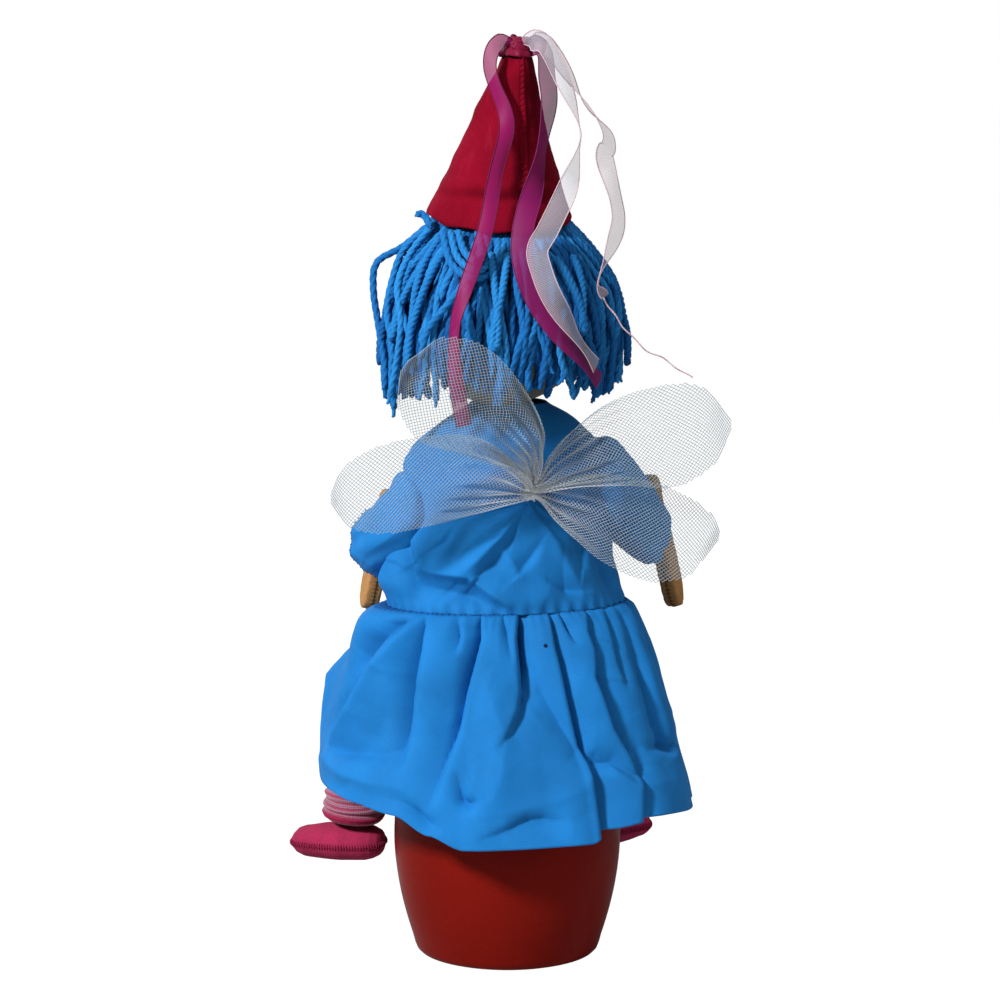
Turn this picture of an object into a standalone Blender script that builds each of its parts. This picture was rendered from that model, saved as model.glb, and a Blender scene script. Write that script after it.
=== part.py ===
"""Fairy glove puppet on a barrel-shaped stand. Metres, +Z up, the face looks along -Y.

Run with: blender --background --python part.py
Every sub-part is its own closed mesh. Moving pieces hang from an empty on their joint axis.
"""

from math import cos, pi, radians, sin, sqrt

import bmesh
import bpy
from mathutils import Vector

MM = 0.001
CLEAR = 0.4  # gap left between neighbouring pieces, in millimetres

# Stand, in millimetres
POT_FOOT_R = 43.5
POT_BELLY_R = 53.5
POT_BELLY_Z = 55.0
POT_MOUTH_R = 46.0
POT_TOP_Z = 112.0
POT_WALL = 5.0
POT_FLOOR = 7.0
CAP_TOP_Z = 117.0
CAP_SPIGOT_DEEP = 11.0
POST_R = 6.0
POST_TOP_Z = 232.0

# Figure, in millimetres
BODY_TOP_Z = 240.0
WAIST_Z = 167.0
NECKLINE_Z = 262.0
SHOULDER = Vector((50.0, 0.0, 217.0))
KNEE = Vector((58.0, -62.0, 112.0))
ANKLE = Vector((62.0, -66.5, 50.0))
LIMB_R = 12.5
HEAD = Vector((3.0, 0.0, 304.0))
HEAD_R = Vector((42.0, 41.0, 45.0))
NECK_Z = 257.5
BRIM = Vector((4.0, 0.0, 345.0))
BRIM_R = 34.0
BRIM_SLOPE = 0.235
HAT_TIP = Vector((-3.0, 15.0, 415.5))
GATHER = Vector((-2.0, 39.5, 224.0))
CLOTH = 1.2

# Cast of colours: name, linear RGB, roughness
PAINTS = {
    "red_glaze": ((0.13, 0.008, 0.006), 0.35),
    "wood": ((0.42, 0.26, 0.13), 0.6),
    "blue_cotton": ((0.02, 0.22, 0.55), 0.85),
    "blue_yarn": ((0.02, 0.16, 0.45), 0.9),
    "crimson_felt": ((0.38, 0.01, 0.05), 0.95),
    "pink_felt": ((0.42, 0.05, 0.12), 0.95),
    "striped_knit": ((0.50, 0.15, 0.24), 0.9),
    "tan_felt": ((0.32, 0.16, 0.05), 0.95),
    "skin_cloth": ((0.62, 0.40, 0.28), 0.9),
    "calico": ((0.60, 0.55, 0.45), 0.95),
    "white_net": ((0.80, 0.80, 0.80), 0.6),
    "magenta_organza": ((0.40, 0.02, 0.18), 0.5),
    "pale_organza": ((0.75, 0.55, 0.62), 0.5),
    "black_bead": ((0.01, 0.01, 0.01), 0.2),
}


# ---------- scene and mesh helpers ----------

def clear_scene():
    for obj in list(bpy.data.objects):
        bpy.data.objects.remove(obj, do_unlink=True)


def paint(obj, kind):
    colour, roughness = PAINTS[kind]
    material = bpy.data.materials.new(obj.name + "_" + kind)
    material.use_nodes = True
    shader = material.node_tree.nodes["Principled BSDF"]
    shader.inputs["Base Color"].default_value = (*colour, 1.0)
    shader.inputs["Roughness"].default_value = roughness
    obj.data.materials.append(material)


def add_node(name, points, faces, kind, collection, pivot=None):
    """One named object from points in millimetres; its origin is its pivot when it has one."""
    origin = pivot.location / MM if pivot else Vector((0, 0, 0))
    mesh = bpy.data.meshes.new(name)
    mesh.from_pydata([(Vector(p) - origin) * MM for p in points], [], faces)
    shape = bmesh.new()
    shape.from_mesh(mesh)
    bmesh.ops.triangulate(shape, faces=shape.faces)
    bmesh.ops.recalc_face_normals(shape, faces=shape.faces)
    shape.to_mesh(mesh)
    shape.free()
    obj = bpy.data.objects.new(name, mesh)
    collection.objects.link(obj)
    obj.parent = pivot
    paint(obj, kind)
    return obj


def add_pivot(name, place, collection):
    pivot = bpy.data.objects.new(name, None)
    pivot.location = place * MM
    pivot.empty_display_size = 0.02
    collection.objects.link(pivot)
    return pivot


def loft(rings, joined=False):
    """Points and faces through equal rings. joined closes the last ring onto the first."""
    count = len(rings[0])
    points = [p for ring in rings for p in ring]
    faces = []
    for k in range(len(rings) if joined else len(rings) - 1):
        a, b = k * count, (k + 1) % len(rings) * count
        for i in range(count):
            j = (i + 1) % count
            faces.append((a + i, a + j, b + j, b + i))
    if not joined:
        faces.append(tuple(range(count)))
        faces.append(tuple(range(len(points) - count, len(points))))
    return points, faces


def slab(front, back):
    """A thin closed sheet between two equal grids of points."""
    rows, columns = len(front), len(front[0])
    points = [p for grid in (front, back) for row in grid for p in row]
    base = rows * columns
    faces = []
    for r in range(rows - 1):
        for c in range(columns - 1):
            a = r * columns + c
            quad = (a, a + 1, a + columns + 1, a + columns)
            faces.append(quad)
            faces.append(tuple(base + i for i in reversed(quad)))
    edge = [c for c in range(columns)]
    edge += [r * columns + columns - 1 for r in range(1, rows)]
    edge += [(rows - 1) * columns + c for c in range(columns - 2, -1, -1)]
    edge += [r * columns for r in range(rows - 2, 0, -1)]
    for a, b in zip(edge, edge[1:] + edge[:1]):
        faces.append((a, b, base + b, base + a))
    return points, faces


def oval(centre, half_x, half_y, count):
    """A level oval ring."""
    turn = 2 * pi / count
    return [
        centre + Vector((half_x * cos(i * turn), half_y * sin(i * turn), 0))
        for i in range(count)
    ]


def tilted_ring(centre, across, upward, half_across, half_up, count):
    turn = 2 * pi / count
    return [
        centre + across * (half_across * cos(i * turn)) + upward * (half_up * sin(i * turn))
        for i in range(count)
    ]


def lathe(profile, count, centre=(0, 0)):
    """Rings about a vertical axis through (radius, z) pairs."""
    return [oval(Vector((*centre, z)), r, r, count) for r, z in profile]


def smooth_between(table, angle):
    """Values of a closed table {degrees: (values)} at any angle, eased between its rows."""
    keys = sorted(table)
    angle %= 360
    for low, high in zip(keys, keys[1:] + [keys[0] + 360]):
        if low <= angle <= high or low <= angle + 360 <= high:
            share = ((angle if angle >= low else angle + 360) - low) / (high - low)
            ease = share * share * (3 - 2 * share)
            first, second = table[low], table[high % 360]
            return [a + (b - a) * ease for a, b in zip(first, second)]
    return list(table[keys[0]])


def between(table, at):
    """Straight-line values of a table [(at, values...)] that runs in order of at."""
    for first, second in zip(table, table[1:]):
        if at <= second[0]:
            break
    share = (at - first[0]) / (second[0] - first[0])
    return [a + (b - a) * share for a, b in zip(first[1:], second[1:])]


def mirrored(point, side):
    return Vector((point[0] * side, point[1], point[2]))


def sphere_rings(centre, radii, count, rows):
    """Rings up an ellipsoid; its poles are small rings."""
    rings = []
    for k in range(rows + 1):
        height = -pi / 2 + pi * k / rows
        width = max(cos(height), 0.06)
        middle = centre + Vector((0, 0, radii[2] * sin(height)))
        rings.append(oval(middle, radii[0] * width, radii[1] * width, count))
    return rings


# ---------- stand ----------

def build_stand(collection):
    count = 32
    belly = POT_BELLY_R - POT_FOOT_R
    outer = [(POT_FOOT_R - 3.5, 0), (POT_FOOT_R - 1.0, 1.2), (POT_FOOT_R + 0.3, 4.0)]
    for z in (14.0, 27.0, 41.0, POT_BELLY_Z, 74.0, 94.0):
        if z <= POT_BELLY_Z:
            share = (POT_BELLY_Z - z) / (POT_BELLY_Z - 4.0)
            outer.append((POT_BELLY_R - belly * share ** 1.8, z))
        else:
            share = (z - POT_BELLY_Z) / (POT_TOP_Z - POT_BELLY_Z)
            outer.append((POT_BELLY_R - (POT_BELLY_R - POT_MOUTH_R) * share ** 1.8, z))
    outer.append((POT_MOUTH_R, POT_TOP_Z))
    inner = [(r - POT_WALL, z) for r, z in outer[:3:-1]]
    inner.append((POT_FOOT_R - POT_WALL, POT_FLOOR))
    add_node("stand_pot", *loft(lathe(outer + inner, count)), "red_glaze", collection)

    spigot_r = POT_MOUTH_R - POT_WALL - CLEAR
    hole_r = POST_R + 0.3
    low = POT_TOP_Z - CAP_SPIGOT_DEEP
    cap = [
        (spigot_r - 1.0, low),
        (spigot_r, low + 1.0),
        (spigot_r, POT_TOP_Z + 0.3),
        (POT_MOUTH_R, POT_TOP_Z + 0.3),
        (POT_MOUTH_R, CAP_TOP_Z - 1.0),
        (POT_MOUTH_R - 1.0, CAP_TOP_Z),
        (hole_r, CAP_TOP_Z),
        (hole_r, low + 3.0),
    ]
    add_node("stand_cap", *loft(lathe(cap, count)), "wood", collection)
    post = [
        (POST_R, low + 3.3),
        (POST_R, POST_TOP_Z - 2.0),
        (POST_R - 2.0, POST_TOP_Z),
    ]
    add_node("support_post", *loft(lathe(post, 20)), "wood", collection)


# ---------- torso and dress ----------

def build_inner_body(collection):
    count = 24
    bore = POST_R + 1.5
    bottom = CAP_TOP_Z + CLEAR
    outer = [(bottom, 36, 22), (bottom + 6, 40, 24), (150, 40, 24), (190, 38, 23), (228, 34, 20)]
    rings = [oval(Vector((0, 4, z)), a, b, count) for z, a, b in outer]
    rings.append(oval(Vector((0, 3, BODY_TOP_Z)), 20, 14, count))
    bored = [oval(Vector((0, 0, z)), bore, bore, count) for z in (bottom, POST_TOP_Z + 2)]
    points, faces = loft(bored[::-1] + rings)
    add_node("inner_body", points, faces, "calico", collection)
    neck = [(13.0, BODY_TOP_Z + CLEAR), (12.0, 246.0), (12.0, NECK_Z - 3.0)]
    add_node("neck", *loft(lathe(neck, 18, (2, 1))), "skin_cloth", collection)


BODICE = [
    (WAIST_Z + 0.3, 56.0, 36.0),
    (178.0, 54.0, 35.5),
    (189.0, 50.0, 34.5),
    (205.0, 50.0, 33.0),
    (222.0, 50.0, 31.0),
    (235.0, 49.0, 28.0),
    (244.0, 43.0, 26.0),
    (254.0, 33.0, 23.0),
    (NECKLINE_Z, 25.0, 20.0),
]


def build_bodice(collection):
    count = 28
    outer = [oval(Vector((0, 2, z)), a, b, count) for z, a, b in BODICE]
    inner = [oval(Vector((0, 2, z)), a - CLOTH, b - CLOTH, count) for z, a, b in BODICE]
    points, faces = loft(outer + inner[::-1], joined=True)
    add_node("dress_bodice", points, faces, "blue_cotton", collection)


# direction from the middle in degrees, 0 at the wearer's left and 90 at the back: (reach, hem height)
HEM = {
    0: (87.0, 82.0, 0.40),
    24: (85.0, 85.0, 0.50),
    44: (82.0, 86.0, 0.58),
    62: (79.0, 73.0, 0.68),
    90: (76.0, 71.0, 0.72),
    115: (80.0, 73.0, 0.70),
    135: (86.0, 77.0, 0.66),
    180: (89.0, 76.0, 0.62),
    200: (91.0, 92.0, 0.66),
    214: (95.0, 127.0, 0.72),
    238: (92.0, 129.0, 0.72),
    270: (80.0, 112.0, 0.72),
    302: (92.0, 129.0, 0.72),
    326: (95.0, 127.0, 0.72),
    342: (90.0, 92.0, 0.62),
}


def skirt_point(angle, down, inset):
    """A point of the skirt, down from 0 at the waist seam to 1 at the hem."""
    reach, hem, swell = smooth_between(HEM, angle)
    turn = radians(angle)
    waist = 1 / sqrt((cos(turn) / 56.0) ** 2 + (sin(turn) / 36.0) ** 2)
    pleat = 2.2 * sin(radians(angle) * 12) * down
    radius = waist + (reach - waist) * down ** swell + pleat - inset
    height = WAIST_Z - 0.3 + (hem - WAIST_Z + 0.3) * down
    return Vector((radius * cos(turn), 2 + radius * sin(turn), height))


def build_skirt(collection):
    count, rows = 48, 6
    turns = [360 * i / count for i in range(count)]
    outer = [[skirt_point(a, k / rows, 0) for a in turns] for k in range(rows + 1)]
    inner = [[skirt_point(a, k / rows, CLOTH) for a in turns] for k in range(rows + 1)]
    points, faces = loft(outer + inner[::-1], joined=True)
    add_node("dress_skirt", points, faces, "blue_cotton", collection)


# ---------- arms ----------

# sleeve stations: centre, half width across, half height, each as if it were the left arm
SLEEVES = {
    "left": [
        (Vector((51.0, 0.0, 209.0)), Vector((0, 1, 0)), 20.0, 21.0),
        (Vector((56.5, -6.0, 203.0)), Vector((0.35, 0.94, 0)), 19.0, 19.0),
        (Vector((58.0, -14.5, 197.0)), Vector((0.72, 0.69, 0)), 17.0, 18.0),
        (Vector((56.5, -23.0, 193.5)), Vector((0.97, 0.24, 0)), 16.0, 17.5),
    ],
    "right": [
        (Vector((51.0, 0.0, 218.5)), Vector((0, 1, 0)), 21.0, 24.5),
        (Vector((58.0, -5.0, 211.0)), Vector((0.22, 0.97, 0)), 20.0, 24.0),
        (Vector((66.0, -12.0, 203.0)), Vector((0.45, 0.89, 0)), 18.0, 21.5),
        (Vector((73.0, -19.5, 196.5)), Vector((0.60, 0.80, 0)), 15.5, 18.5),
    ],
}

# each mitten: wrist, the way it points, the way its thumb rises, as if it were the left one,
# and how far its fingers reach down compared with the outline
HANDS = {
    "left": (Vector((51.5, -27.0, 196.0)), Vector((0.12, -0.99, 0)), Vector((-0.17, 0, 0.98)), 1.0),
    "right": (Vector((72.0, -17.5, 201.0)), Vector((0.62, -0.78, 0)), Vector((-0.14, 0, 0.99)), 1.2),
}


def build_arm(name, side, collection):
    pivot = add_pivot("shoulder_" + name, mirrored(SHOULDER, side), collection)
    outer, inner = [], []
    for centre, across, half_across, half_up in SLEEVES[name]:
        centre, across = mirrored(centre, side), mirrored(across, side).normalized()
        rise = Vector((0, 0, 1))
        outer.append(tilted_ring(centre, across, rise, half_across, half_up, 20))
        inner.append(
            tilted_ring(centre, across, rise, half_across - CLOTH, half_up - CLOTH, 20)
        )
    points, faces = loft(outer + inner[::-1], joined=True)
    add_node("sleeve_" + name, points, faces, "blue_cotton", collection, pivot)
    build_hand(name, side, collection, pivot)


def build_hand(name, side, collection, pivot):
    """A flat mitten: one outline around thumb and fingers, laid out in an upright plane."""
    wrist, forward, rise = (mirrored(v, side) for v in HANDS[name][:3])
    longer = HANDS[name][3]
    forward, rise = forward.normalized(), rise.normalized()
    across = forward.cross(rise)
    # along forward, up: the outline of one felt layer, thumb up and fingers down
    outline = [(0, 7), (6, 9), (9, 16), (12, 20.5), (16, 20), (18.5, 15), (18, 6), (20, -3)]
    outline += [(22, -15), (23, -28), (21, -36), (17, -39), (13, -36), (11.5, -28), (10, -18)]
    outline += [(3, -11), (-1, -7)]
    rings = []
    for depth, shrink in ((-4.6, 0.80), (-3.4, 1.0), (3.4, 1.0), (4.6, 0.80)):
        ring = []
        for along, up in outline:
            up = up * longer if up < -12 else up
            mid = max(min(up * 0.7, 14), -28)
            centre = Vector((13 if up > -8 else 15, mid, 0))
            along_in = centre[0] + (along - centre[0]) * shrink
            up_in = centre[1] + (up - centre[1]) * shrink
            ring.append(wrist + forward * along_in + rise * up_in + across * depth)
        rings.append(ring)
    points, faces = loft(rings)
    add_node("hand_" + name, points, faces, "tan_felt", collection, pivot)


# ---------- legs ----------

def tube(stations, count):
    """Rings square to the way from one station to the next; a station is (centre, radius)."""
    rings = []
    for k, (centre, radius) in enumerate(stations):
        before = stations[max(k - 1, 0)][0]
        after = stations[min(k + 1, len(stations) - 1)][0]
        way = (after - before).normalized()
        across = way.cross(Vector((0.31, 0.87, 0.38))).normalized()
        rings.append(tilted_ring(centre, across, way.cross(across), radius, radius, count))
    return rings


def build_leg(name, side, collection):
    knee, ankle = mirrored(KNEE, side), mirrored(ANKLE, side)
    hip, crook = mirrored((22, -35, 131.5), side), mirrored((41, -49, 130.5), side)
    end = knee + (crook - knee).normalized() * (LIMB_R + 0.8)
    start = hip + (hip - crook).normalized() * 7
    thigh = [(start, 8.0), (hip, LIMB_R), (crook, LIMB_R), (end, LIMB_R)]
    add_node("thigh_" + name, *loft(tube(thigh, 16)), "calico", collection)

    pivot = add_pivot("knee_" + name, knee, collection)
    way = (ankle - knee).normalized()
    across = Vector((0, 0, 1)).cross(way).normalized()
    rings = []
    for lift in (80, 50, 25):
        middle = knee - way * (LIMB_R * sin(radians(lift)))
        width = LIMB_R * cos(radians(lift))
        rings.append(tilted_ring(middle, across, way.cross(across), width, width, 18))
    for share, radius in ((0, 12.5), (0.35, 12.8), (0.6, 13.4), (0.85, 15.0), (0.96, 15.0), (1, 13.0)):
        middle = knee.lerp(ankle, share)
        rings.append(tilted_ring(middle, across, way.cross(across), radius, radius, 18))
    add_node("stocking_" + name, *loft(rings), "striped_knit", collection, pivot)

    heel, toe = mirrored((47.5, -60.0, 39.0), side), mirrored((90.0, -79.0, 38.0), side)
    along = (toe - heel).normalized()
    sideways = along.cross(Vector((0, 0, 1))).normalized()
    rings = []
    stations = ((0, 5, 4), (0.05, 9, 7), (0.2, 12.5, 9.6), (0.45, 14, 10), (0.65, 13, 9.2))
    for share, wide, high in stations + ((0.85, 11, 8), (0.96, 7.5, 5.5), (1, 4, 3)):
        middle = heel.lerp(toe, share)
        rings.append(tilted_ring(middle, sideways, Vector((0, 0, 1)), wide, high, 16))
    add_node("shoe_" + name, *loft(rings), "pink_felt", collection, pivot)


# ---------- head, hair and hat ----------

def on_face(across, up, proud):
    """A point over the front of the head, across and up from its middle."""
    level = 1 - (across / HEAD_R[0]) ** 2 - (up / HEAD_R[2]) ** 2
    front = Vector((across, -HEAD_R[1] * sqrt(level), up))
    slope = Vector([front[i] / HEAD_R[i] ** 2 for i in range(3)]).normalized()
    return HEAD + front + slope * proud


def build_head(collection, pivot):
    rings = sphere_rings(HEAD, HEAD_R, 22, 10)
    add_node("head", *loft(rings), "skin_cloth", collection, pivot)
    for name, side in (("left", 1), ("right", -1)):
        centre = on_face(15.0 * side, 3.0, 3.4)
        rings = sphere_rings(centre, (3.0, 3.0, 3.0), 12, 6)
        add_node("eye_" + name, *loft(rings), "black_bead", collection, pivot)
    rings = sphere_rings(on_face(0.0, -6.0, 4.4), (4.0, 4.0, 4.0), 12, 6)
    add_node("nose", *loft(rings), "skin_cloth", collection, pivot)
    smile = [(on_face(t, -21.0 + t * t / 26.0, 1.3), 0.9) for t in (-10, -7, -3.5, 0, 3.5, 7, 10)]
    add_node("mouth", *loft(tube(smile, 8)), "crimson_felt", collection, pivot)


def brim_height(x, y):
    return BRIM.z - BRIM_SLOPE * (y - BRIM.y)


def head_radius(z):
    if z <= HEAD.z:
        return HEAD_R[0]
    rise = min((z - HEAD.z) / HEAD_R[2], 1.0)
    return HEAD_R[0] * sqrt(1 - rise * rise)


HAIR = [(0.0, 32.0, None), (0.2, 45.0, 329.0), (0.4, 53.0, 314.0), (0.7, 58.0, 292.0), (1.0, 57.0, 265.0)]


def hair_point(angle, down, outside):
    """A point on the outer or inner face of the hair; down runs from the brim to the cut ends."""
    turn = radians(angle)
    top = brim_height(0, HAIR[0][1] * sin(turn)) - 1.2
    table = [(d, r, top if z is None else z) for d, r, z in HAIR]
    radius, height = between(table, down)
    if not outside:
        radius = max(head_radius(height) + 2.4, radius - 11.0)
    return Vector((HEAD.x + radius * cos(turn), radius * sin(turn), height))


def build_hair(collection, pivot):
    locks = {
        "hair_left": (306.4, 400.0, 1.0),
        "hair_back": (40.7, 139.3, 1.0),
        "hair_right": (140.0, 233.6, 1.0),
        "hair_fringe": (234.3, 305.7, 0.42),
    }
    for name, (start, end, length) in locks.items():
        columns, rows = 9, 7
        turns = [start + (end - start) * c / (columns - 1) for c in range(columns)]
        downs = [length * r / (rows - 1) for r in range(rows)]
        front = [[hair_point(a, d, True) for a in turns] for d in downs]
        back = [[hair_point(a, d, False) for a in turns] for d in downs]
        add_node(name, *slab(front, back), "blue_yarn", collection, pivot)


def hat_ring(share, thin, count):
    """A ring of the felt cone, share from 0 at the brim to 1 at the pinched tip."""
    centre = BRIM.lerp(HAT_TIP, share)
    radius = BRIM_R + (9.0 - BRIM_R) * share ** 0.92 - thin
    lean = BRIM_SLOPE * (1 - share)
    ring = oval(centre, radius, radius, count)
    return [p - Vector((0, 0, lean * (p.y - centre.y))) for p in ring]


def build_hat(collection, pivot):
    count = 28
    steps = (0.0, 0.25, 0.5, 0.75, 0.94)
    outer = [hat_ring(s, 0, count) for s in steps] + [hat_ring(1.0, 2.5, count)]
    inner = [hat_ring(s, 1.5, count) for s in steps]
    add_node("hat_cone", *loft(outer[::-1] + inner), "crimson_felt", collection, pivot)
    knot = sphere_rings(HAT_TIP + Vector((1.2, 1.0, 8.8)), (7.0, 6.0, 7.0), 14, 7)
    add_node("ribbon_knot", *loft(knot), "magenta_organza", collection, pivot)


# each ribbon: material, half width, then places down its length from the knot
RIBBONS = {
    "ribbon_magenta_left": ("magenta_organza", 3.6, [
        (15, 20, 421), (17, 24, 409), (13, 28, 392), (9, 34, 376), (15, 37, 363),
        (22, 44, 345), (27, 52, 327), (35, 54, 300), (32, 55, 288), (25, 55, 256)]),
    "ribbon_magenta_right": ("magenta_organza", 5.0, [
        (-13, 23, 419), (-12, 29, 404), (-12, 34, 389), (-9, 37, 374), (-5, 39, 363),
        (1, 46, 346), (6, 54, 329), (-5, 57, 311), (-16, 57, 293), (-31, 51, 275)]),
    "ribbon_pale_inner": ("pale_organza", 5.0, [
        (-8, 28, 428), (-15, 34, 419), (-20, 40, 405), (-22, 42, 388), (-18, 44, 370),
        (-9, 51, 349), (-1, 58, 331), (-6, 61, 315), (-19, 59, 294), (-32, 53, 284)]),
    "ribbon_pale_outer": ("pale_organza", 5.0, [
        (-19, 20, 427), (-27, 27, 410), (-38, 32, 394), (-46, 34, 384), (-42, 36, 373),
        (-42, 38, 362), (-44, 41, 349), (-39, 45, 336), (-35, 47, 322), (-38, 48, 315)]),
}
LOOSE_THREAD = [(-38, 49, 313.5), (-45, 52, 300), (-56, 55, 288), (-75, 58, 277)]


def spaced(places, count):
    """Points at equal shares along straight runs between places."""
    places = [Vector(p) for p in places]
    steps = [(b - a).length for a, b in zip(places, places[1:])]
    found = []
    for k in range(count):
        left = sum(steps) * k / (count - 1)
        for i, step in enumerate(steps):
            if left <= step or i == len(steps) - 1:
                found.append(places[i].lerp(places[i + 1], min(left / step, 1.0)))
                break
            left -= step
    return found


def build_ribbons(collection, pivot):
    for name, (kind, half, places) in RIBBONS.items():
        path = spaced(places, 16)
        front, back = [], []
        for k, point in enumerate(path):
            way = (path[min(k + 1, 15)] - path[max(k - 1, 0)]).normalized()
            outward = Vector((point.x - HEAD.x, point.y, 0)).normalized()
            across = outward.cross(way).normalized()
            lift = way.cross(across).normalized() * 0.4
            front.append([point + across * s * half + lift for s in (-1, 1)])
            back.append([point + across * s * half - lift for s in (-1, 1)])
        add_node(name, *slab(front, back), kind, collection, pivot)
    thread = [(p, 0.5) for p in spaced(LOOSE_THREAD, 10)]
    add_node("ribbon_loose_thread", *loft(tube(thread, 6)), "pale_organza", collection, pivot)


# ---------- net wings ----------

# each lobe: (x, y, z) places along its upper edge and along its lower edge, from gather to tip
WINGS = {
    "wing_upper_left": (
        [(-3, 46, 231), (-4, 52, 243), (-2, 62, 256), (7, 68, 273), (21, 73, 288), (38, 76, 297), (57, 78, 289)],
        [(1, 46, 231), (8, 52, 239), (18, 62, 246), (33, 70, 252), (49, 74, 256), (58, 77, 268), (59, 78, 285)],
    ),
    "wing_lower_left": (
        [(2, 42, 226), (11, 43, 236), (26, 45, 247), (48, 47, 250), (70, 48, 248), (86, 46, 239), (92, 45, 227)],
        [(2, 42, 222), (11, 43, 219), (26, 45, 215), (44, 47, 211), (66, 48, 208), (83, 46, 211), (92, 45, 222)],
    ),
    "wing_upper_right": (
        [(-5, 45, 230), (-9, 47, 241), (-18, 48, 252), (-33, 52, 265), (-54, 57, 273), (-75, 61, 273), (-90, 62, 258)],
        [(-6, 45, 228), (-14, 46, 231), (-28, 48, 233), (-44, 52, 232), (-64, 58, 228), (-82, 61, 237), (-90, 62, 252)],
    ),
    "wing_lower_right": (
        [(-8, 41, 222), (-20, 42, 225), (-34, 43, 225), (-50, 43, 224), (-68, 43, 222), (-84, 42, 214), (-91, 41, 203)],
        [(-7, 41, 219), (-13, 42, 211), (-22, 43, 202), (-36, 43, 190), (-56, 43, 181), (-76, 42, 183), (-91, 41, 199)],
    ),
}


def build_wings(collection):
    rows, columns = 10, 7
    for name, edges in WINGS.items():
        upper, lower = (spaced(places, rows) for places in edges)
        middle = [(a + b) / 2 for a, b in zip(upper, lower)]
        front, back = [], []
        for k in range(rows):
            way = (middle[min(k + 1, rows - 1)] - middle[max(k - 1, 0)]).normalized()
            lift = (upper[k] - lower[k]).cross(way).normalized() * 0.4
            shares = [c / (columns - 1) for c in range(columns)]
            front.append([lower[k].lerp(upper[k], s) + lift for s in shares])
            back.append([lower[k].lerp(upper[k], s) - lift for s in shares])
        add_node(name, *slab(front, back), "white_net", collection)
    gather = sphere_rings(GATHER - Vector((0, 1.5, 0)), (4.5, 3.2, 5.0), 12, 6)
    add_node("wing_gather", *loft(gather), "white_net", collection)


def main():
    clear_scene()
    collection = bpy.data.collections.new("fairy_puppet")
    bpy.context.scene.collection.children.link(collection)
    build_stand(collection)
    build_inner_body(collection)
    build_bodice(collection)
    build_skirt(collection)
    for name, side in (("left", 1), ("right", -1)):
        build_arm(name, side, collection)
        build_leg(name, side, collection)
    head_pivot = add_pivot("head_turn", Vector((HEAD.x, 0, NECK_Z)), collection)
    build_head(collection, head_pivot)
    build_hair(collection, head_pivot)
    build_hat(collection, head_pivot)
    build_ribbons(collection, head_pivot)
    build_wings(collection)


main()
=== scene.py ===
"""Looks of the fairy puppet on its red pot.

Shapes are in millimetres. The camera, the lamps, the modifiers, the materials' own distances and the flat
sizes of the sheets are in metres.
"""

import math
import random

import bpy
import numpy as np
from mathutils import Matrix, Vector, noise


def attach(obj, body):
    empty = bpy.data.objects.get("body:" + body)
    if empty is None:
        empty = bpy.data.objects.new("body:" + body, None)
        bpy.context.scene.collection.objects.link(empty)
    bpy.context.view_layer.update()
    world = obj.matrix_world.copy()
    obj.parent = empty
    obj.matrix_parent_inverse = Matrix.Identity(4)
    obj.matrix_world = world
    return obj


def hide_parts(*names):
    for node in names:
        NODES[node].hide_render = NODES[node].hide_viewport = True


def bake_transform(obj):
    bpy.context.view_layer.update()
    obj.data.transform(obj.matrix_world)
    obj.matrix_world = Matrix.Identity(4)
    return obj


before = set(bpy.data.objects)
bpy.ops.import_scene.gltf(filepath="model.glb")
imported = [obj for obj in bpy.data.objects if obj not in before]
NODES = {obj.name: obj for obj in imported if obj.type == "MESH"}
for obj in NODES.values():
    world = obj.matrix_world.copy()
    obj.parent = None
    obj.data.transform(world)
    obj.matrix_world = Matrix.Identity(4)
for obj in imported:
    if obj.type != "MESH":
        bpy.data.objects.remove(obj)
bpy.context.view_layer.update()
MM = 0.001    # metres in a millimetre
TAU = 2 * math.pi
SEAM_MERGE = 0.02 * MM    # joins the first and last columns of a cloth
COTTON_THICK, FELT_THICK, RIBBON_THICK = 0.6, 1.5, 0.3


# ---------- materials ----------

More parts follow.
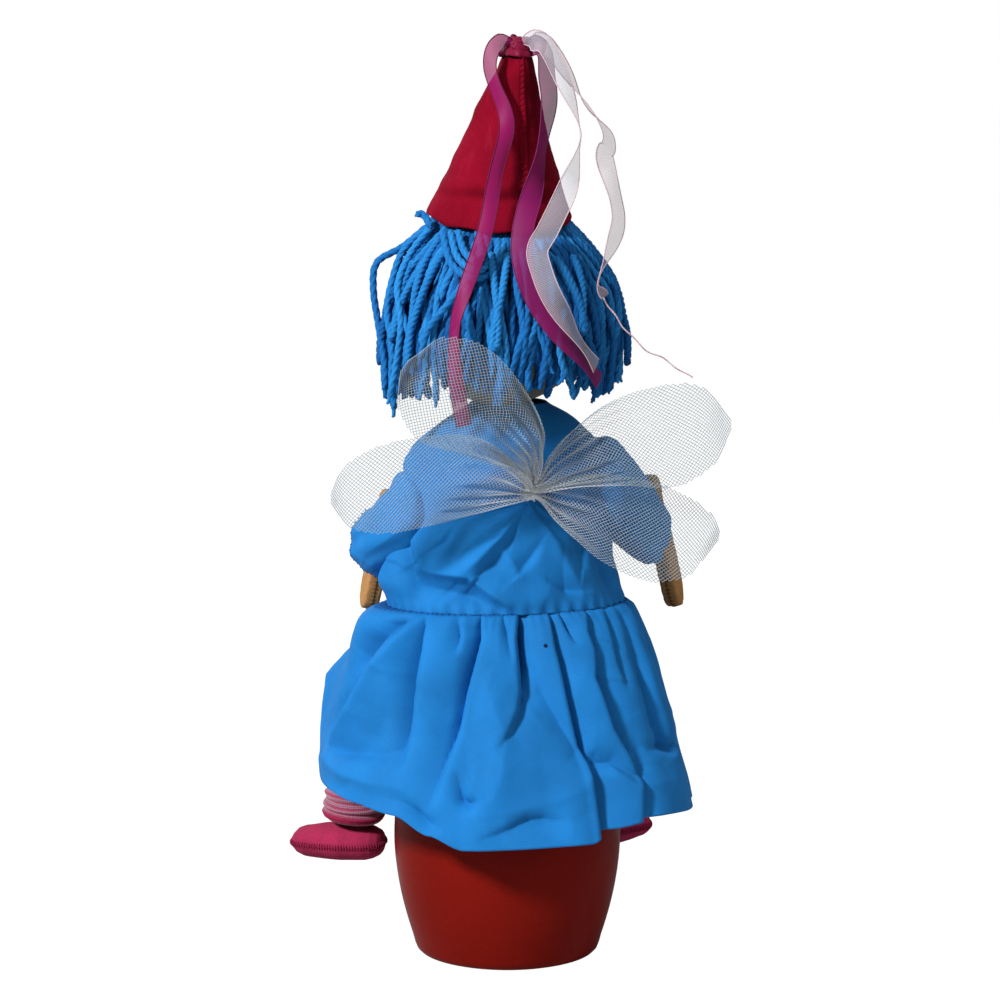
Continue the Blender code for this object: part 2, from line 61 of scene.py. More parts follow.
class Shade:
    """A node material under construction, with short ways to add and link nodes."""

    def __init__(self, name, colour, roughness, **sockets):
        self.material = bpy.data.materials.new(name)
        self.material.use_nodes = True
        self.tree = self.material.node_tree
        self.shader = self.tree.nodes["Principled BSDF"]
        sockets.update(Base_Color=(*colour, 1.0), Roughness=roughness)
        for socket, value in sockets.items():
            self.shader.inputs[socket.replace("_", " ")].default_value = value

    def fill(self, socket, value):
        """Link an output to a socket, or set the socket to a plain value."""
        if isinstance(value, bpy.types.NodeSocket):
            self.tree.links.new(value, socket)
        else:
            socket.default_value = value

    def link(self, output, socket):
        self.tree.links.new(output, self.shader.inputs[socket])

    def node(self, kind, settings=None, **inputs):
        made = self.tree.nodes.new("ShaderNode" + kind)
        for key, value in (settings or {}).items():
            setattr(made, key, value)
        for key, value in inputs.items():
            self.fill(made.inputs[key.replace("_", " ")], value)
        return made

    def coords(self, kind="Object"):
        return self.node("TexCoord").outputs[kind]

    def mapped(self, scale, location=(0.0, 0.0, 0.0)):
        """The object's coordinates, stretched and moved."""
        return self.node("Mapping", Vector=self.coords(), Scale=scale, Location=location).outputs[0]

    def attribute(self, name):
        return self.node("Attribute", {"attribute_name": name}).outputs["Fac"]

    def noise(self, scale, detail=3.0, rough=0.55, vector=None):
        """Noise over the object's coordinates, or over another vector."""
        return self.node("TexNoise", Vector=vector or self.coords(), Scale=scale, Detail=detail,
                         Roughness=rough).outputs["Fac"]

    def wave(self, direction, pitch_mm, distortion, detail, detail_scale):
        """Stripes across the UV map, which is laid out in metres."""
        return self.node("TexWave", {"bands_direction": direction}, Vector=self.coords("UV"),
                         Scale=1.0 / (pitch_mm * MM) / 3.14, Distortion=distortion, Detail=detail,
                         Detail_Scale=detail_scale).outputs["Fac"]

    def ramp(self, fac, *stops):
        made = self.node("ValToRGB", Fac=fac)
        elements = made.color_ramp.elements
        while len(elements) < len(stops):
            elements.new(0.5)
        for element, (at, colour) in zip(elements, stops):
            element.position = at
            element.color = (*colour, 1.0)
        return made.outputs["Color"]

    def patches(self, fac, first, second):
        """Two colours that melt into each other over the middle of a noise."""
        return self.ramp(fac, (0.3, first), (0.7, second))

    def mix(self, fac, first, second, blend="MIX"):
        made = self.node("Mix", {"data_type": "RGBA", "blend_type": blend})
        factor, colour_a, colour_b = made.inputs[0], made.inputs[6], made.inputs[7]
        for socket, value in ((factor, fac), (colour_a, first), (colour_b, second)):
            self.fill(socket, (*value, 1.0) if isinstance(value, tuple) else value)
        return made.outputs[2]

    def shaded(self, colour, fac, *greys):
        """A colour darkened or lightened by greys, each given with the place in fac where it is reached."""
        return self.mix(1.0, colour, self.ramp(fac, *((at, (grey,) * 3) for at, grey in greys)), "MULTIPLY")

    def span(self, value, low, high, **more):
        """A value from 0 to 1 spread over another range."""
        return self.node("MapRange", Value=value, To_Min=low, To_Max=high, **more).outputs["Result"]

    def math(self, operation, first, second):
        made = self.node("Math", {"operation": operation})
        self.fill(made.inputs[0], first)
        self.fill(made.inputs[1], second)
        return made.outputs[0]

    def bump(self, height, strength, distance_mm):
        made = self.node("Bump", Height=height, Strength=strength, Distance=distance_mm * MM)
        self.link(made.outputs["Normal"], "Normal")


def shades(colour, low, high):
    return tuple(c * low for c in colour), tuple(min(c * high, 1.0) for c in colour)


def sheen_tint(colour, gain, lift):
    return (*[min(c * gain + lift, 1.0) for c in colour], 1.0)


def woven(name, colour, pitch_mm, roughness=0.85, sheen=0.25, patchy=0.14):
    """Plain weave, from the UV map."""
    s = Shade(name, colour, roughness, Sheen_Weight=sheen, Sheen_Roughness=0.45,
              Sheen_Tint=sheen_tint(colour, 1.6, 0.1), Specular_IOR_Level=0.18)
    across, down = (s.wave(direction, pitch_mm, 0.6, 1.0, 2.0) for direction in "XY")
    weave = s.math("MULTIPLY", s.math("ADD", across, down), 0.5)
    tone = s.patches(s.noise(38.0, 4.0), *shades(colour, 1 - patchy, 1 + patchy))
    s.link(s.shaded(tone, weave, (0.15, 0.80), (0.85, 1.06)), "Base Color")
    slub = s.math("MULTIPLY", s.noise(900.0, 2.0), 0.5)
    s.bump(s.math("ADD", weave, slub), 0.5, 0.12)
    return s.material


def felted(name, colour, roughness=0.95, sheen=0.4, patchy=0.2):
    """Short matted fibres: fine noise in colour and height, and a soft sheen."""
    s = Shade(name, colour, roughness, Sheen_Weight=sheen * 0.35, Sheen_Roughness=0.4,
              Specular_IOR_Level=0.12, Sheen_Tint=sheen_tint(colour, 1.5, 0.15))
    broad = s.patches(s.noise(45.0, 3.0), *shades(colour, 1 - patchy, 1 + patchy))
    fibres = s.noise(1300.0, 4.0, 0.7)
    s.link(s.shaded(broad, fibres, (0.3, 0.72), (0.7, 1.15)), "Base Color")
    s.bump(s.math("ADD", fibres, s.noise(320.0)), 0.55, 0.35)
    return s.material


def hat_felt():
    """Crimson felt with paler streaks down the cone."""
    s = Shade("hat_crimson", (0.29, 0.004, 0.026), 0.95, Sheen_Weight=0.03,
              Sheen_Tint=(0.9, 0.15, 0.3, 1.0), Specular_IOR_Level=0.05)
    broad = s.patches(s.noise(40.0), (0.135, 0.0010, 0.008), (0.205, 0.0018, 0.014))
    streaks = s.noise(190.0, vector=s.mapped((1.0, 1.0, 0.12)))
    pale = s.ramp(streaks, (0.6, (0.0,) * 3), (0.85, (0.10,) * 3))
    fibres = s.noise(1400.0, 4.0, 0.7)
    base = s.mix(pale, broad, (0.55, 0.06, 0.12))
    s.link(s.shaded(base, fibres, (0.3, 0.74), (0.7, 1.14)), "Base Color")
    s.bump(s.math("ADD", fibres, s.noise(300.0)), 0.6, 0.35)
    return s.material


def head_cloth():
    """Skin-coloured cotton, with painted shade at the back: the cloth there is coloured near black for the
    shadow of the hair over it.
    """
    s = Shade("head_cloth", (0.66, 0.47, 0.34), 0.85, Sheen_Weight=0.3)
    depth = s.node("SeparateXYZ", Vector=s.coords()).outputs["Y"]
    hair_shade_share = s.span(depth, 0.0, 1.0, From_Min=-0.012, From_Max=0.004)
    soft = s.patches(s.noise(60.0), (0.60, 0.42, 0.30), (0.70, 0.51, 0.38))
    # painted shade: near-black olive for the shadow that the hair casts on the back of the head
    back = s.patches(s.noise(120.0, 4.0), (0.030, 0.034, 0.012), (0.075, 0.070, 0.030))
    s.link(s.mix(hair_shade_share, soft, back), "Base Color")
    weave = s.node("TexVoronoi", Vector=s.coords(), Scale=1400.0).outputs["Distance"]
    s.bump(s.math("ADD", weave, s.noise(300.0)), 0.5, 0.12)
    return s.material


def glazed_red():
    s = Shade("pot_red_satin", (0.12, 0.008, 0.006), 0.34, Specular_IOR_Level=0.045)
    tone = s.patches(s.noise(14.0, 4.0), (0.138, 0.0040, 0.002), (0.172, 0.006, 0.003))
    specks = s.noise(700.0, 2.0)
    s.link(s.shaded(tone, specks, (0.3, 0.9), (0.7, 1.05)), "Base Color")
    s.link(s.span(s.noise(60.0), 0.28, 0.42), "Roughness")
    s.bump(s.math("ADD", s.noise(25.0, 2.0), s.math("MULTIPLY", specks, 0.15)), 0.12, 0.6)
    return s.material


def turned_wood():
    s = Shade("turned_beech", (0.42, 0.26, 0.13), 0.55)
    grain = s.noise(420.0, 4.0, vector=s.mapped((1.0, 1.0, 0.12)))
    tone = s.ramp(grain, (0.3, (0.30, 0.17, 0.08)), (0.55, (0.45, 0.28, 0.14)), (0.8, (0.52, 0.34, 0.19)))
    s.link(tone, "Base Color")
    s.bump(grain, 0.3, 0.15)
    return s.material


def yarn_blue():
    """Each strand has its own tone; painted shade darkens the grooves between its plies, and a painted
    highlight lightens their crests.
    """
    s = Shade("yarn_blue", (0.02, 0.20, 0.55), 0.9, Sheen_Weight=0.18, Sheen_Roughness=0.35,
              Sheen_Tint=(0.15, 0.5, 0.9, 1.0), Specular_IOR_Level=0.15)
    tone = s.ramp(s.attribute("strand"), (0.0, (0.004, 0.080, 0.27)), (0.5, (0.008, 0.135, 0.40)),
                  (1.0, (0.018, 0.205, 0.52)))
    fibre = s.noise(1500.0, 3.0, 0.65)
    fuzzy = s.shaded(tone, fibre, (0.3, 0.70), (0.7, 1.18))
    # painted shade in the grooves between the plies, painted highlight on their crests
    s.link(s.shaded(fuzzy, s.attribute("groove"), (0.0, 0.66), (0.35, 0.97), (1.0, 1.06)), "Base Color")
    s.bump(fibre, 0.6, 0.25)
    return s.material


def knit_striped():
    """Thin mauve and pale stripes around a pink knit, from the UV map."""
    s = Shade("stocking_knit", (0.5, 0.15, 0.24), 0.9, Sheen_Weight=0.3)
    stripe = s.wave("Y", 2.3, 0.5, 1.0, 3.0)
    tone = s.ramp(stripe, (0.0, (0.27, 0.02, 0.07)), (0.55, (0.24, 0.04, 0.09)),
                  (0.84, (0.34, 0.20, 0.25)), (1.0, (0.20, 0.05, 0.11)))
    ribs = s.wave("X", 0.9, 0.8, 1.0, 2.0)
    s.link(s.shaded(tone, ribs, (0.1, 0.82), (0.9, 1.06)), "Base Color")
    s.bump(s.math("ADD", ribs, stripe), 0.5, 0.2)
    return s.material


def organza(name, colour, alpha):
    """A sheer ribbon: thin crossing threads over a see-through ground, from the UV map."""
    s = Shade(name, colour, 0.55, Sheen_Weight=0.08, Sheen_Tint=sheen_tint(colour, 2, 0.1),
              Specular_IOR_Level=0.14, Alpha=alpha)
    threads = s.wave("Y", 0.7, 1.2, 2.0, 1.5)
    dark, light = shades(colour, 0.8, 1.2)
    s.link(s.ramp(threads, (0.2, dark), (0.8, light)), "Base Color")
    s.bump(threads, 0.35, 0.06)
    return s.material


def net_white():
    """White net, palest near the gather, where it lies in many layers."""
    s = Shade("net_white", (0.62, 0.63, 0.65), 0.6, Specular_IOR_Level=0.3)
    near_gather = s.mapped((22.0, 22.0, 22.0), (0.044, -0.90, -4.97))
    share = s.node("TexGradient", {"gradient_type": "SPHERICAL"}, Vector=near_gather).outputs["Fac"]
    s.link(s.ramp(share, (0.0, (0.28, 0.33, 0.355)), (0.4, (0.39, 0.435, 0.465)), (0.9, (0.72, 0.745, 0.76))),
           "Base Color")
    return s.material


def bead_black():
    s = Shade("bead_black", (0.012, 0.011, 0.012), 0.12, Coat_Weight=0.6)
    s.link(s.patches(s.noise(300.0, 2.0), (0.008,) * 3, (0.018,) * 3), "Base Color")
    return s.material


# ---------- number helpers ----------

def angles(count):
    """Evenly spaced angles round a circle, in radians."""
    return np.arange(count) * TAU / count


def degrees_from(degrees, place):
    """Degrees past a place on a circle, from -180 to 180."""
    return (degrees - place + 180) % 360 - 180


def bell(off, width):
    """1 where off is 0, fading out over a width or two on both sides."""
    return np.exp(-(off / width) ** 2)


def unit(vectors):
    """Vectors with their length, along the last axis, made 1."""
    vectors = np.asarray(vectors, float)
    return vectors / np.maximum(np.linalg.norm(vectors, axis=-1, keepdims=True), 1e-9)


def cubic(a, b, c, d, t):
    """Catmull-Rom from b to c, as t goes from 0 to 1."""
    return 0.5 * (2 * b + (c - a) * t + (2 * a - 5 * b + 4 * c - d) * t ** 2
                  + (3 * b - a - 3 * c + d) * t ** 3)


def curve_points(places, count, closed=False):
    """A smooth line through the places, with its points evenly spaced."""
    p = np.asarray(places, float)
    if closed:
        q = np.vstack([p[-1:], p, p[:2]])
    else:
        q = np.vstack([2 * p[:1] - p[1:2], p, 2 * p[-1:] - p[-2:-1]])
    t = np.linspace(0, 1, 24, endpoint=False)[:, None]
    runs = [cubic(q[i - 1], q[i], q[i + 1], q[i + 2], t) for i in range(1, len(q) - 2)]
    return evenly(np.vstack(runs + [q[-2:-1]]), count)


def travelled(line):
    """How far along the line each of its points is."""
    return np.concatenate([[0], np.cumsum(np.linalg.norm(np.diff(line, axis=0), axis=1))])


def evenly(line, count):
    steps = travelled(line)
    at = np.linspace(0, steps[-1], count)
    return np.stack([np.interp(at, steps, line[:, k]) for k in range(3)], axis=1)


def eased(table, at):
    """Smoothly eased values of a sorted table [(at, value)] for an array of places."""
    keys, vals = np.array(table, float).T
    i = np.clip(np.searchsorted(keys, at) - 1, 0, len(keys) - 2)
    share = np.clip((at - keys[i]) / (keys[i + 1] - keys[i]), 0, 1)
    return vals[i] + (vals[i + 1] - vals[i]) * share * share * (3 - 2 * share)


def around(table, degrees):
    """The same for a table that closes on itself at 360 degrees."""
    first, last = table[0], table[-1]
    full = [(last[0] - 360, last[1]), *table, (first[0] + 360, first[1])]
    return eased(full, degrees % 360)


def frames_along(line, reference):
    """Tangent, normal and binormal at each point; the normal leans towards reference."""
    tangent = unit(np.gradient(line, axis=0))
    reference = np.broadcast_to(np.asarray(reference, float), line.shape)
    normal = unit(reference - (reference * tangent).sum(1)[:, None] * tangent)
    return tangent, normal, np.cross(tangent, normal)


def spokes(normal, other, turn):
    """Directions out from each point of a line; turn is one list of angles, or one for each point."""
    return normal[:, None] * np.cos(turn)[..., None] + other[:, None] * np.sin(turn)[..., None]


def outward(points):
    """Normals of a grid of points that closes on itself along its rows."""
    across = np.roll(points, -1, axis=1) - np.roll(points, 1, axis=1)
    return unit(np.cross(np.gradient(points, axis=0), across))


def rumple(points, size, depth, seed=0.0):
    """Smooth noise, one value per point, at this size and depth."""
    flat = points.reshape(-1, 3) / size
    made = [noise.noise(Vector((x + seed, y - seed, z + 2 * seed))) for x, y, z in flat]
    return np.array(made).reshape(points.shape[:-1]) * depth


def crimp(u, v, lines):
    """Folds pressed into a cloth along drawn lines, on a map of it with u to the right and v down.

    Each line is its points (u, v, depth) and its reach to both sides: to the left and the right of it where
    it runs down, below and above it where it runs to the right.
    """
    push = np.zeros(np.broadcast(u, v).shape)
    for points, left, right in lines:
        nearest = np.full(push.shape, 1e9)
        depth = np.zeros(push.shape)
        side = np.zeros(push.shape)
        for (u0, v0, d0), (u1, v1, d1) in zip(points, points[1:]):
            du, dv = u1 - u0, v1 - v0
            t = np.clip(((u - u0) * du + (v - v0) * dv) / (du * du + dv * dv), 0, 1)
            gap = np.hypot(u - u0 - t * du, v - v0 - t * dv)
            closer = gap < nearest
            nearest = np.where(closer, gap, nearest)
            depth = np.where(closer, d0 + (d1 - d0) * t, depth)
            side = np.where(closer, du * (v - v0) - dv * (u - u0), side)
        width = np.where(side < 0, right, left)
        push = push - depth * np.exp(-(nearest / width) ** 1.35)
    return push


def creases(u, v, wide, tall, count, seed, depth, longest):
    """Sharp little ridges and valleys at random places of a cloth, u across and v down."""
    rng = random.Random(seed)
    push = np.zeros(np.broadcast(u, v).shape)
    for _ in range(count):
        middle_u, middle_v = rng.uniform(0, wide), rng.uniform(0, tall)
        turn = rng.uniform(-0.9, 0.9) + math.pi / 2 * (rng.random() < 0.75)
        half = rng.uniform(0.35, 1.0) * longest / 2
        du = (u - middle_u + wide / 2) % wide - wide / 2
        dv = v - middle_v
        along = du * math.cos(turn) + dv * math.sin(turn)
        aside = -du * math.sin(turn) + dv * math.cos(turn)
        bow = aside + 0.010 * along ** 2 * rng.uniform(-1, 1)
        fade = np.clip(1 - (along / half) ** 2, 0, 1)
        sharp = rng.uniform(2.2, 4.5)
        height = depth * rng.choice((-1, 1, 1)) * rng.uniform(0.4, 1)
        push = push + height * fade * np.exp(-np.abs(bow) / sharp)
    return push


# ---------- mesh helpers ----------

def put(name, verts_mm, faces, material, body, replaces=(), uv=None, flat=False, slot=None, values=None):
    """A mesh piece riding on a body. uv is one pair per vertex, in metres."""
    mesh = bpy.data.meshes.new(name)
    verts = np.asarray(verts_mm, float).reshape(-1, 3) * MM
    mesh.from_pydata(verts.tolist(), [], [tuple(int(i) for i in f) for f in faces])
    mesh.update()
    mesh.polygons.foreach_set("use_smooth", [not flat] * len(mesh.polygons))
    if uv is not None:
        loops = np.empty(len(mesh.loops), int)
        mesh.loops.foreach_get("vertex_index", loops)
        mesh.uv_layers.new(name="cloth").data.foreach_set("uv", uv[loops].ravel())
    for key, data in (values or {}).items():
        mesh.attributes.new(key, "FLOAT", "POINT").data.foreach_set("value", data)
    mesh.materials.append(material)
    piece = bpy.data.objects.new(name, mesh)
    bpy.context.scene.collection.objects.link(piece)
    if body:
        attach(piece, body)
    if replaces:
        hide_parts(*replaces)
    return piece


def grid_faces(rows, columns, wrap=False):
    faces = []
    for r in range(rows - 1):
        for c in range(columns if wrap else columns - 1):
            d = (c + 1) % columns
            faces.append((r * columns + c, r * columns + d, (r + 1) * columns + d, (r + 1) * columns + c))
    return faces


def closed_faces(rows, sides):
    """Faces of rings that make a tube with both ends closed."""
    last = (rows - 1) * sides
    return grid_faces(rows, sides, wrap=True) + [tuple(range(sides))[::-1], tuple(range(last, last + sides))]


def grid_uv(points):
    """UV in metres from the mean spacing of a rows by columns grid of points."""
    down = np.linalg.norm(np.diff(points, axis=0), axis=2).mean(axis=1)
    along = np.linalg.norm(np.diff(points, axis=1), axis=2).mean(axis=0)
    v = np.concatenate([[0], np.cumsum(down)]) * MM
    u = np.concatenate([[0], np.cumsum(along)]) * MM
    return np.stack(np.meshgrid(u, v), axis=-1).reshape(-1, 2)


def modify(piece, kind, **settings):
    made = piece.modifiers.new(kind.lower(), kind)
    for key, value in settings.items():
        setattr(made, key, value)


def thicken(piece, thickness, offset=-1.0):
    modify(piece, "SOLIDIFY", thickness=thickness * MM, offset=offset)


def put_cloth(name, points, thickness, material, body, replaces, slot, round_m=None):
    """A sheet from a grid of points that runs all the way round, joined at its seam.

    The UV map takes its width from the grid, or from round_m in metres.
    """
    rows, columns = points.shape[:2]
    closed = np.concatenate([points, points[:, :1]], axis=1)
    uv = grid_uv(closed)
    if round_m:
        uv[:, 0] = np.tile(np.linspace(0, round_m, columns + 1), rows)
    piece = put(name, closed, grid_faces(rows, columns + 1), material, body, [replaces], uv=uv, slot=slot)
    modify(piece, "WELD", merge_threshold=SEAM_MERGE)
    thicken(piece, thickness)
    return piece


def tube_mesh(line, radii, sides=8, reference=(0.3, 0.9, 0.3), caps=True):
    """Verts and faces of a round tube; radii is a number or one per point."""
    _, normal, other = frames_along(line, reference)
    radii = np.broadcast_to(np.asarray(radii, float), (len(line),))
    verts = (line[:, None] + spokes(normal, other, angles(sides)) * radii[:, None, None]).reshape(-1, 3)
    return verts, closed_faces(len(line), sides) if caps else grid_faces(len(line), sides, wrap=True)


def ball(rows, sides, end=0.05):
    """Unit directions over a ball from its bottom to its top, stopping an angle short of each."""
    rise = np.linspace(-math.pi / 2 + end, math.pi / 2 - end, rows)[:, None]
    turn = angles(sides)[None, :]
    wide = np.cos(rise)
    return np.stack([wide * np.cos(turn), wide * np.sin(turn), np.sin(rise) + 0 * turn], axis=-1)


class Heap:
    """Several meshes gathered into one."""

    def __init__(self):
        self.verts, self.faces, self.values, self.count = [], [], {}, 0

    def add(self, verts, faces, **values):
        self.verts.append(np.asarray(verts, float))
        self.faces += [tuple(i + self.count for i in f) for f in faces]
        self.count += len(verts)
        for key, value in values.items():
            self.values.setdefault(key, []).append(np.broadcast_to(np.asarray(value, float), (len(verts),)))

    def stitch(self, places, radius, count=6, sides=5, **tube):
        """A short length of thread through these places."""
        self.add(*tube_mesh(curve_points(places, count), radius, sides, **tube))

    def put(self, name, material, body, **more):
        values = {key: np.concatenate(v) for key, v in self.values.items()}
        return put(name, np.vstack(self.verts), self.faces, material, body, values=values, **more)


def two_ply(line, turning, apart, lean, radius, **tube):
    """Two plies wound round a line, turning this many radians over its length."""
    heap = Heap()
    _, normal, other = frames_along(line, lean)
    for ply in (0.0, math.pi):
        twist = np.linspace(0, turning, len(line))[:, None] + ply
        heap.add(*tube_mesh(line + (normal * np.cos(twist) + other * np.sin(twist)) * apart, radius, **tube))
    return heap


# ---------- camera, floor and lights ----------

MIDDLE = Vector((0.0035, 0, 0.215))    # metres, where the camera looks
LIGHTS = {    # place and width in metres, power in watts
    "key": ((1.6, 1.0, 1.45), 0.3, 76),
    "fill": ((-1.3, 1.7, 0.8), 1.0, 8),
    "top": ((-0.2, 0.0, 1.9), 1.0, 8),
    "front": ((0.4, -1.8, 1.0), 1.4, 14),
}


def place_and_aim(item, place, target):
    item.location = place
    item.rotation_mode = "QUATERNION"
    item.rotation_quaternion = (Vector(target) - Vector(place)).to_track_quat("-Z", "Y")
    bpy.context.scene.collection.objects.link(item)


def build_camera():
    azimuth, elevation, distance = math.radians(167), math.radians(8), 1.5
    back = Vector((math.sin(azimuth) * math.cos(elevation), -math.cos(azimuth) * math.cos(elevation),
                   math.sin(elevation)))
    camera = bpy.data.objects.new("camera", bpy.data.cameras.new("camera"))
    camera.data.lens = 115.7
    camera.data.sensor_width = 36
    camera.data.clip_end = 20
    place_and_aim(camera, MIDDLE + back * distance, MIDDLE)
    bpy.context.scene.camera = camera


def build_floor():
    """A white floor that the lights only shade a little."""
    bpy.ops.mesh.primitive_plane_add(size=80, location=(0, 0, -0.0002))
    floor = bpy.context.object
    floor.name = "floor"
    s = Shade("floor_white", (0.9, 0.9, 0.9), 0.95, Specular_IOR_Level=0.0, Emission_Color=(1, 1, 1, 1))
    seen = s.node("LightPath").outputs["Is Camera Ray"]
    s.link(s.span(seen, 0.03, 0.985), "Emission Strength")
    s.link(s.mix(seen, (0.42, 0.42, 0.42), (0.07, 0.07, 0.07)), "Base Color")
    floor.data.materials.append(s.material)


def build_light():
    """A white world that lights the object less than it shows, and four lamps."""
    scene = bpy.context.scene
    scene.view_settings.view_transform = "Standard"
    world = scene.world or bpy.data.worlds.new("world")
    scene.world = world
    world.use_nodes = True
    nodes, links = world.node_tree.nodes, world.node_tree.links
    sky = nodes["Background"]
    sky.inputs["Color"].default_value = (1, 1, 1, 1)
    strength = nodes.new("ShaderNodeMapRange")
    strength.inputs["To Min"].default_value = 0.19
    strength.inputs["To Max"].default_value = 1.0
    links.new(nodes.new("ShaderNodeLightPath").outputs["Is Camera Ray"], strength.inputs["Value"])
    links.new(strength.outputs["Result"], sky.inputs["Strength"])
    for name, (place, size, power) in LIGHTS.items():
        light = bpy.data.lights.new(name, "AREA")
        light.energy, light.size = power, size
        place_and_aim(bpy.data.objects.new(name, light), place, (0, 0, 0.22))


# ---------- stand ----------

def build_stand():
    """The turned pot, with its bulging wall, rolled lip and hollow, and beech on the cap and the post."""
    foot, belly, mouth, belly_z, top = 43.5, 53.5, 46.0, 55.0, 112.0
    profile = [(0.5, 0.0), (38.0, 0.0), (40.0, 0.2), (41.8, 0.8), (43.0, 2.0), (43.8, 4.0)]
    profile += [(belly - (belly - foot) * ((belly_z - z) / 51) ** 1.8, z)
                for z in np.linspace(8, belly_z, 14)]
    profile += [(belly - (belly - mouth) * ((z - belly_z) / (top - belly_z)) ** 1.8, z)
                for z in np.linspace(59, top - 1.2, 14)]
    profile += [(45.7, 111.6), (45.0, top), (42.2, top), (41.4, 111.4), (41.2, 110.0), (44.0, 95.0),
                (48.0, 72.0), (48.5, 55.0), (45.0, 25.0), (38.5, 9.0), (34.0, 7.0), (0.5, 7.0)]
    columns, turn = 96, angles(96)
    radius, z = np.array(profile).T[:, :, None]
    points = np.stack([radius * np.cos(turn), radius * np.sin(turn), z + 0 * turn], axis=-1)
    put("pot", points, closed_faces(len(profile), columns), glazed_red(), "stand", ["stand_pot"],
        slot="red_glaze")
    wood = turned_wood()
    for name in ("stand_cap", "support_post"):
        NODES[name].material_slots[0].material = wood


# ---------- stuffed body, mostly under the dress ----------

# height, half width and half depth
BODY_OVALS = [(117.4, 30, 17), (118.4, 34.5, 20.5), (120.5, 37.5, 22.8), (123.4, 39.3, 23.6), (136, 40, 24),
              (150, 40, 24), (170, 39, 23.6), (190, 38, 23), (210, 36.2, 21.8), (228, 33.6, 19.8),
              (235, 29.5, 17.5), (239, 24, 15), (240, 17, 12), (240, 8, 8)]
THIGH = [(22, -35, 131.5), (41, -49, 130.5), (52, -57, 122), (56.5, -60.8, 114.5)]


def build_body(calico):
    rows, columns, turn = 60, 72, angles(72)
    ovals = np.array(BODY_OVALS, float)
    at = np.linspace(0, len(ovals) - 1, rows)
    z, wide, deep = (np.interp(at, range(len(ovals)), ovals[:, k])[:, None] for k in range(3))
    points = np.stack([wide * np.cos(turn), 4 + deep * np.sin(turn), z + 0 * turn], axis=-1)
    points = points - outward(points) * (0.5 + np.abs(rumple(points, 16, 1.0)))[..., None]
    faces = grid_faces(rows, columns, wrap=True) + [tuple(range(columns))[::-1]]
    body = put("body_padding", points, faces, calico, "figure", ["inner_body"], uv=grid_uv(points),
               slot="calico")


def build_neck():
    line = curve_points([(2, 1, 236), (2, 1, 245), (2, 1, 254.3)], 24)
    verts, faces = tube_mesh(line, 12 + 0.8 * np.linspace(-1, 1, 24) ** 2, 40)
    skin = woven("neck_cloth", (0.66, 0.47, 0.34), 0.8, sheen=0.25)
    neck = put("neck_padding", verts, faces, skin, "figure", ["neck"], slot="skin_cloth")


def build_thigh(side, name, calico):
    line = curve_points([(side * x, y, z) for x, y, z in THIGH], 40)
    share = np.linspace(0, 1, 40)
    radii = 12.0 * np.sqrt(np.clip(1 - np.clip((0.12 - share) / 0.13, 0, 1) ** 2, 0.02, 1))
    radii *= np.sqrt(np.clip(1 - np.clip((share - 0.86) / 0.15, 0, 1) ** 2, 0.02, 1))
    radii += 0.25 * np.sin(share * 60)
    verts, faces = tube_mesh(line, radii, 36)
    thigh = put("thigh_padding_" + name, verts, faces, calico, "figure", ["thigh_" + name], slot="calico")


# ---------- skirt ----------

WAIST_Z = 166.9
SKIRT_ROUND, SKIRT_DROP = 470, 96    # the cloth as folds are laid out on it
# degrees: (reach, height of the hem, how soon it swells out below the waist)
HEM = [(0, (87, 86, 0.28)), (24, (85, 84, 0.40)), (38, (83, 81, 0.55)), (50, (81, 73, 0.62)),
       (62, (79, 66, 0.68)), (90, (76, 66.5, 0.72)), (106, (79, 68, 0.71)), (114, (81, 73, 0.70)),
       (135, (86, 75, 0.66)), (158, (88, 72.5, 0.64)), (180, (89, 76, 0.62)), (200, (91, 92, 0.66)),
       (214, (95, 127, 0.72)), (238, (92, 129, 0.72)), (270, (80, 112, 0.72)), (302, (92, 129, 0.72)),
       (326, (95, 127, 0.72)), (342, (90, 92, 0.42))]
# degrees, half width at the seam in degrees, depth at the seam and at the hem
PLEATS = [(182, 3.4, 4.5, 3.5), (204, 4, 3.0, 2.0), (228, 5, 2.6, 2.0), (250, 5, 3.0, 2.4),
          (270, 5, 3.0, 2.6), (291, 5, 3.0, 2.2), (312, 5, 2.6, 2.0), (330, 4, 3.0, 2.0)]
PLEAT_HALF_AT_HEM = 8
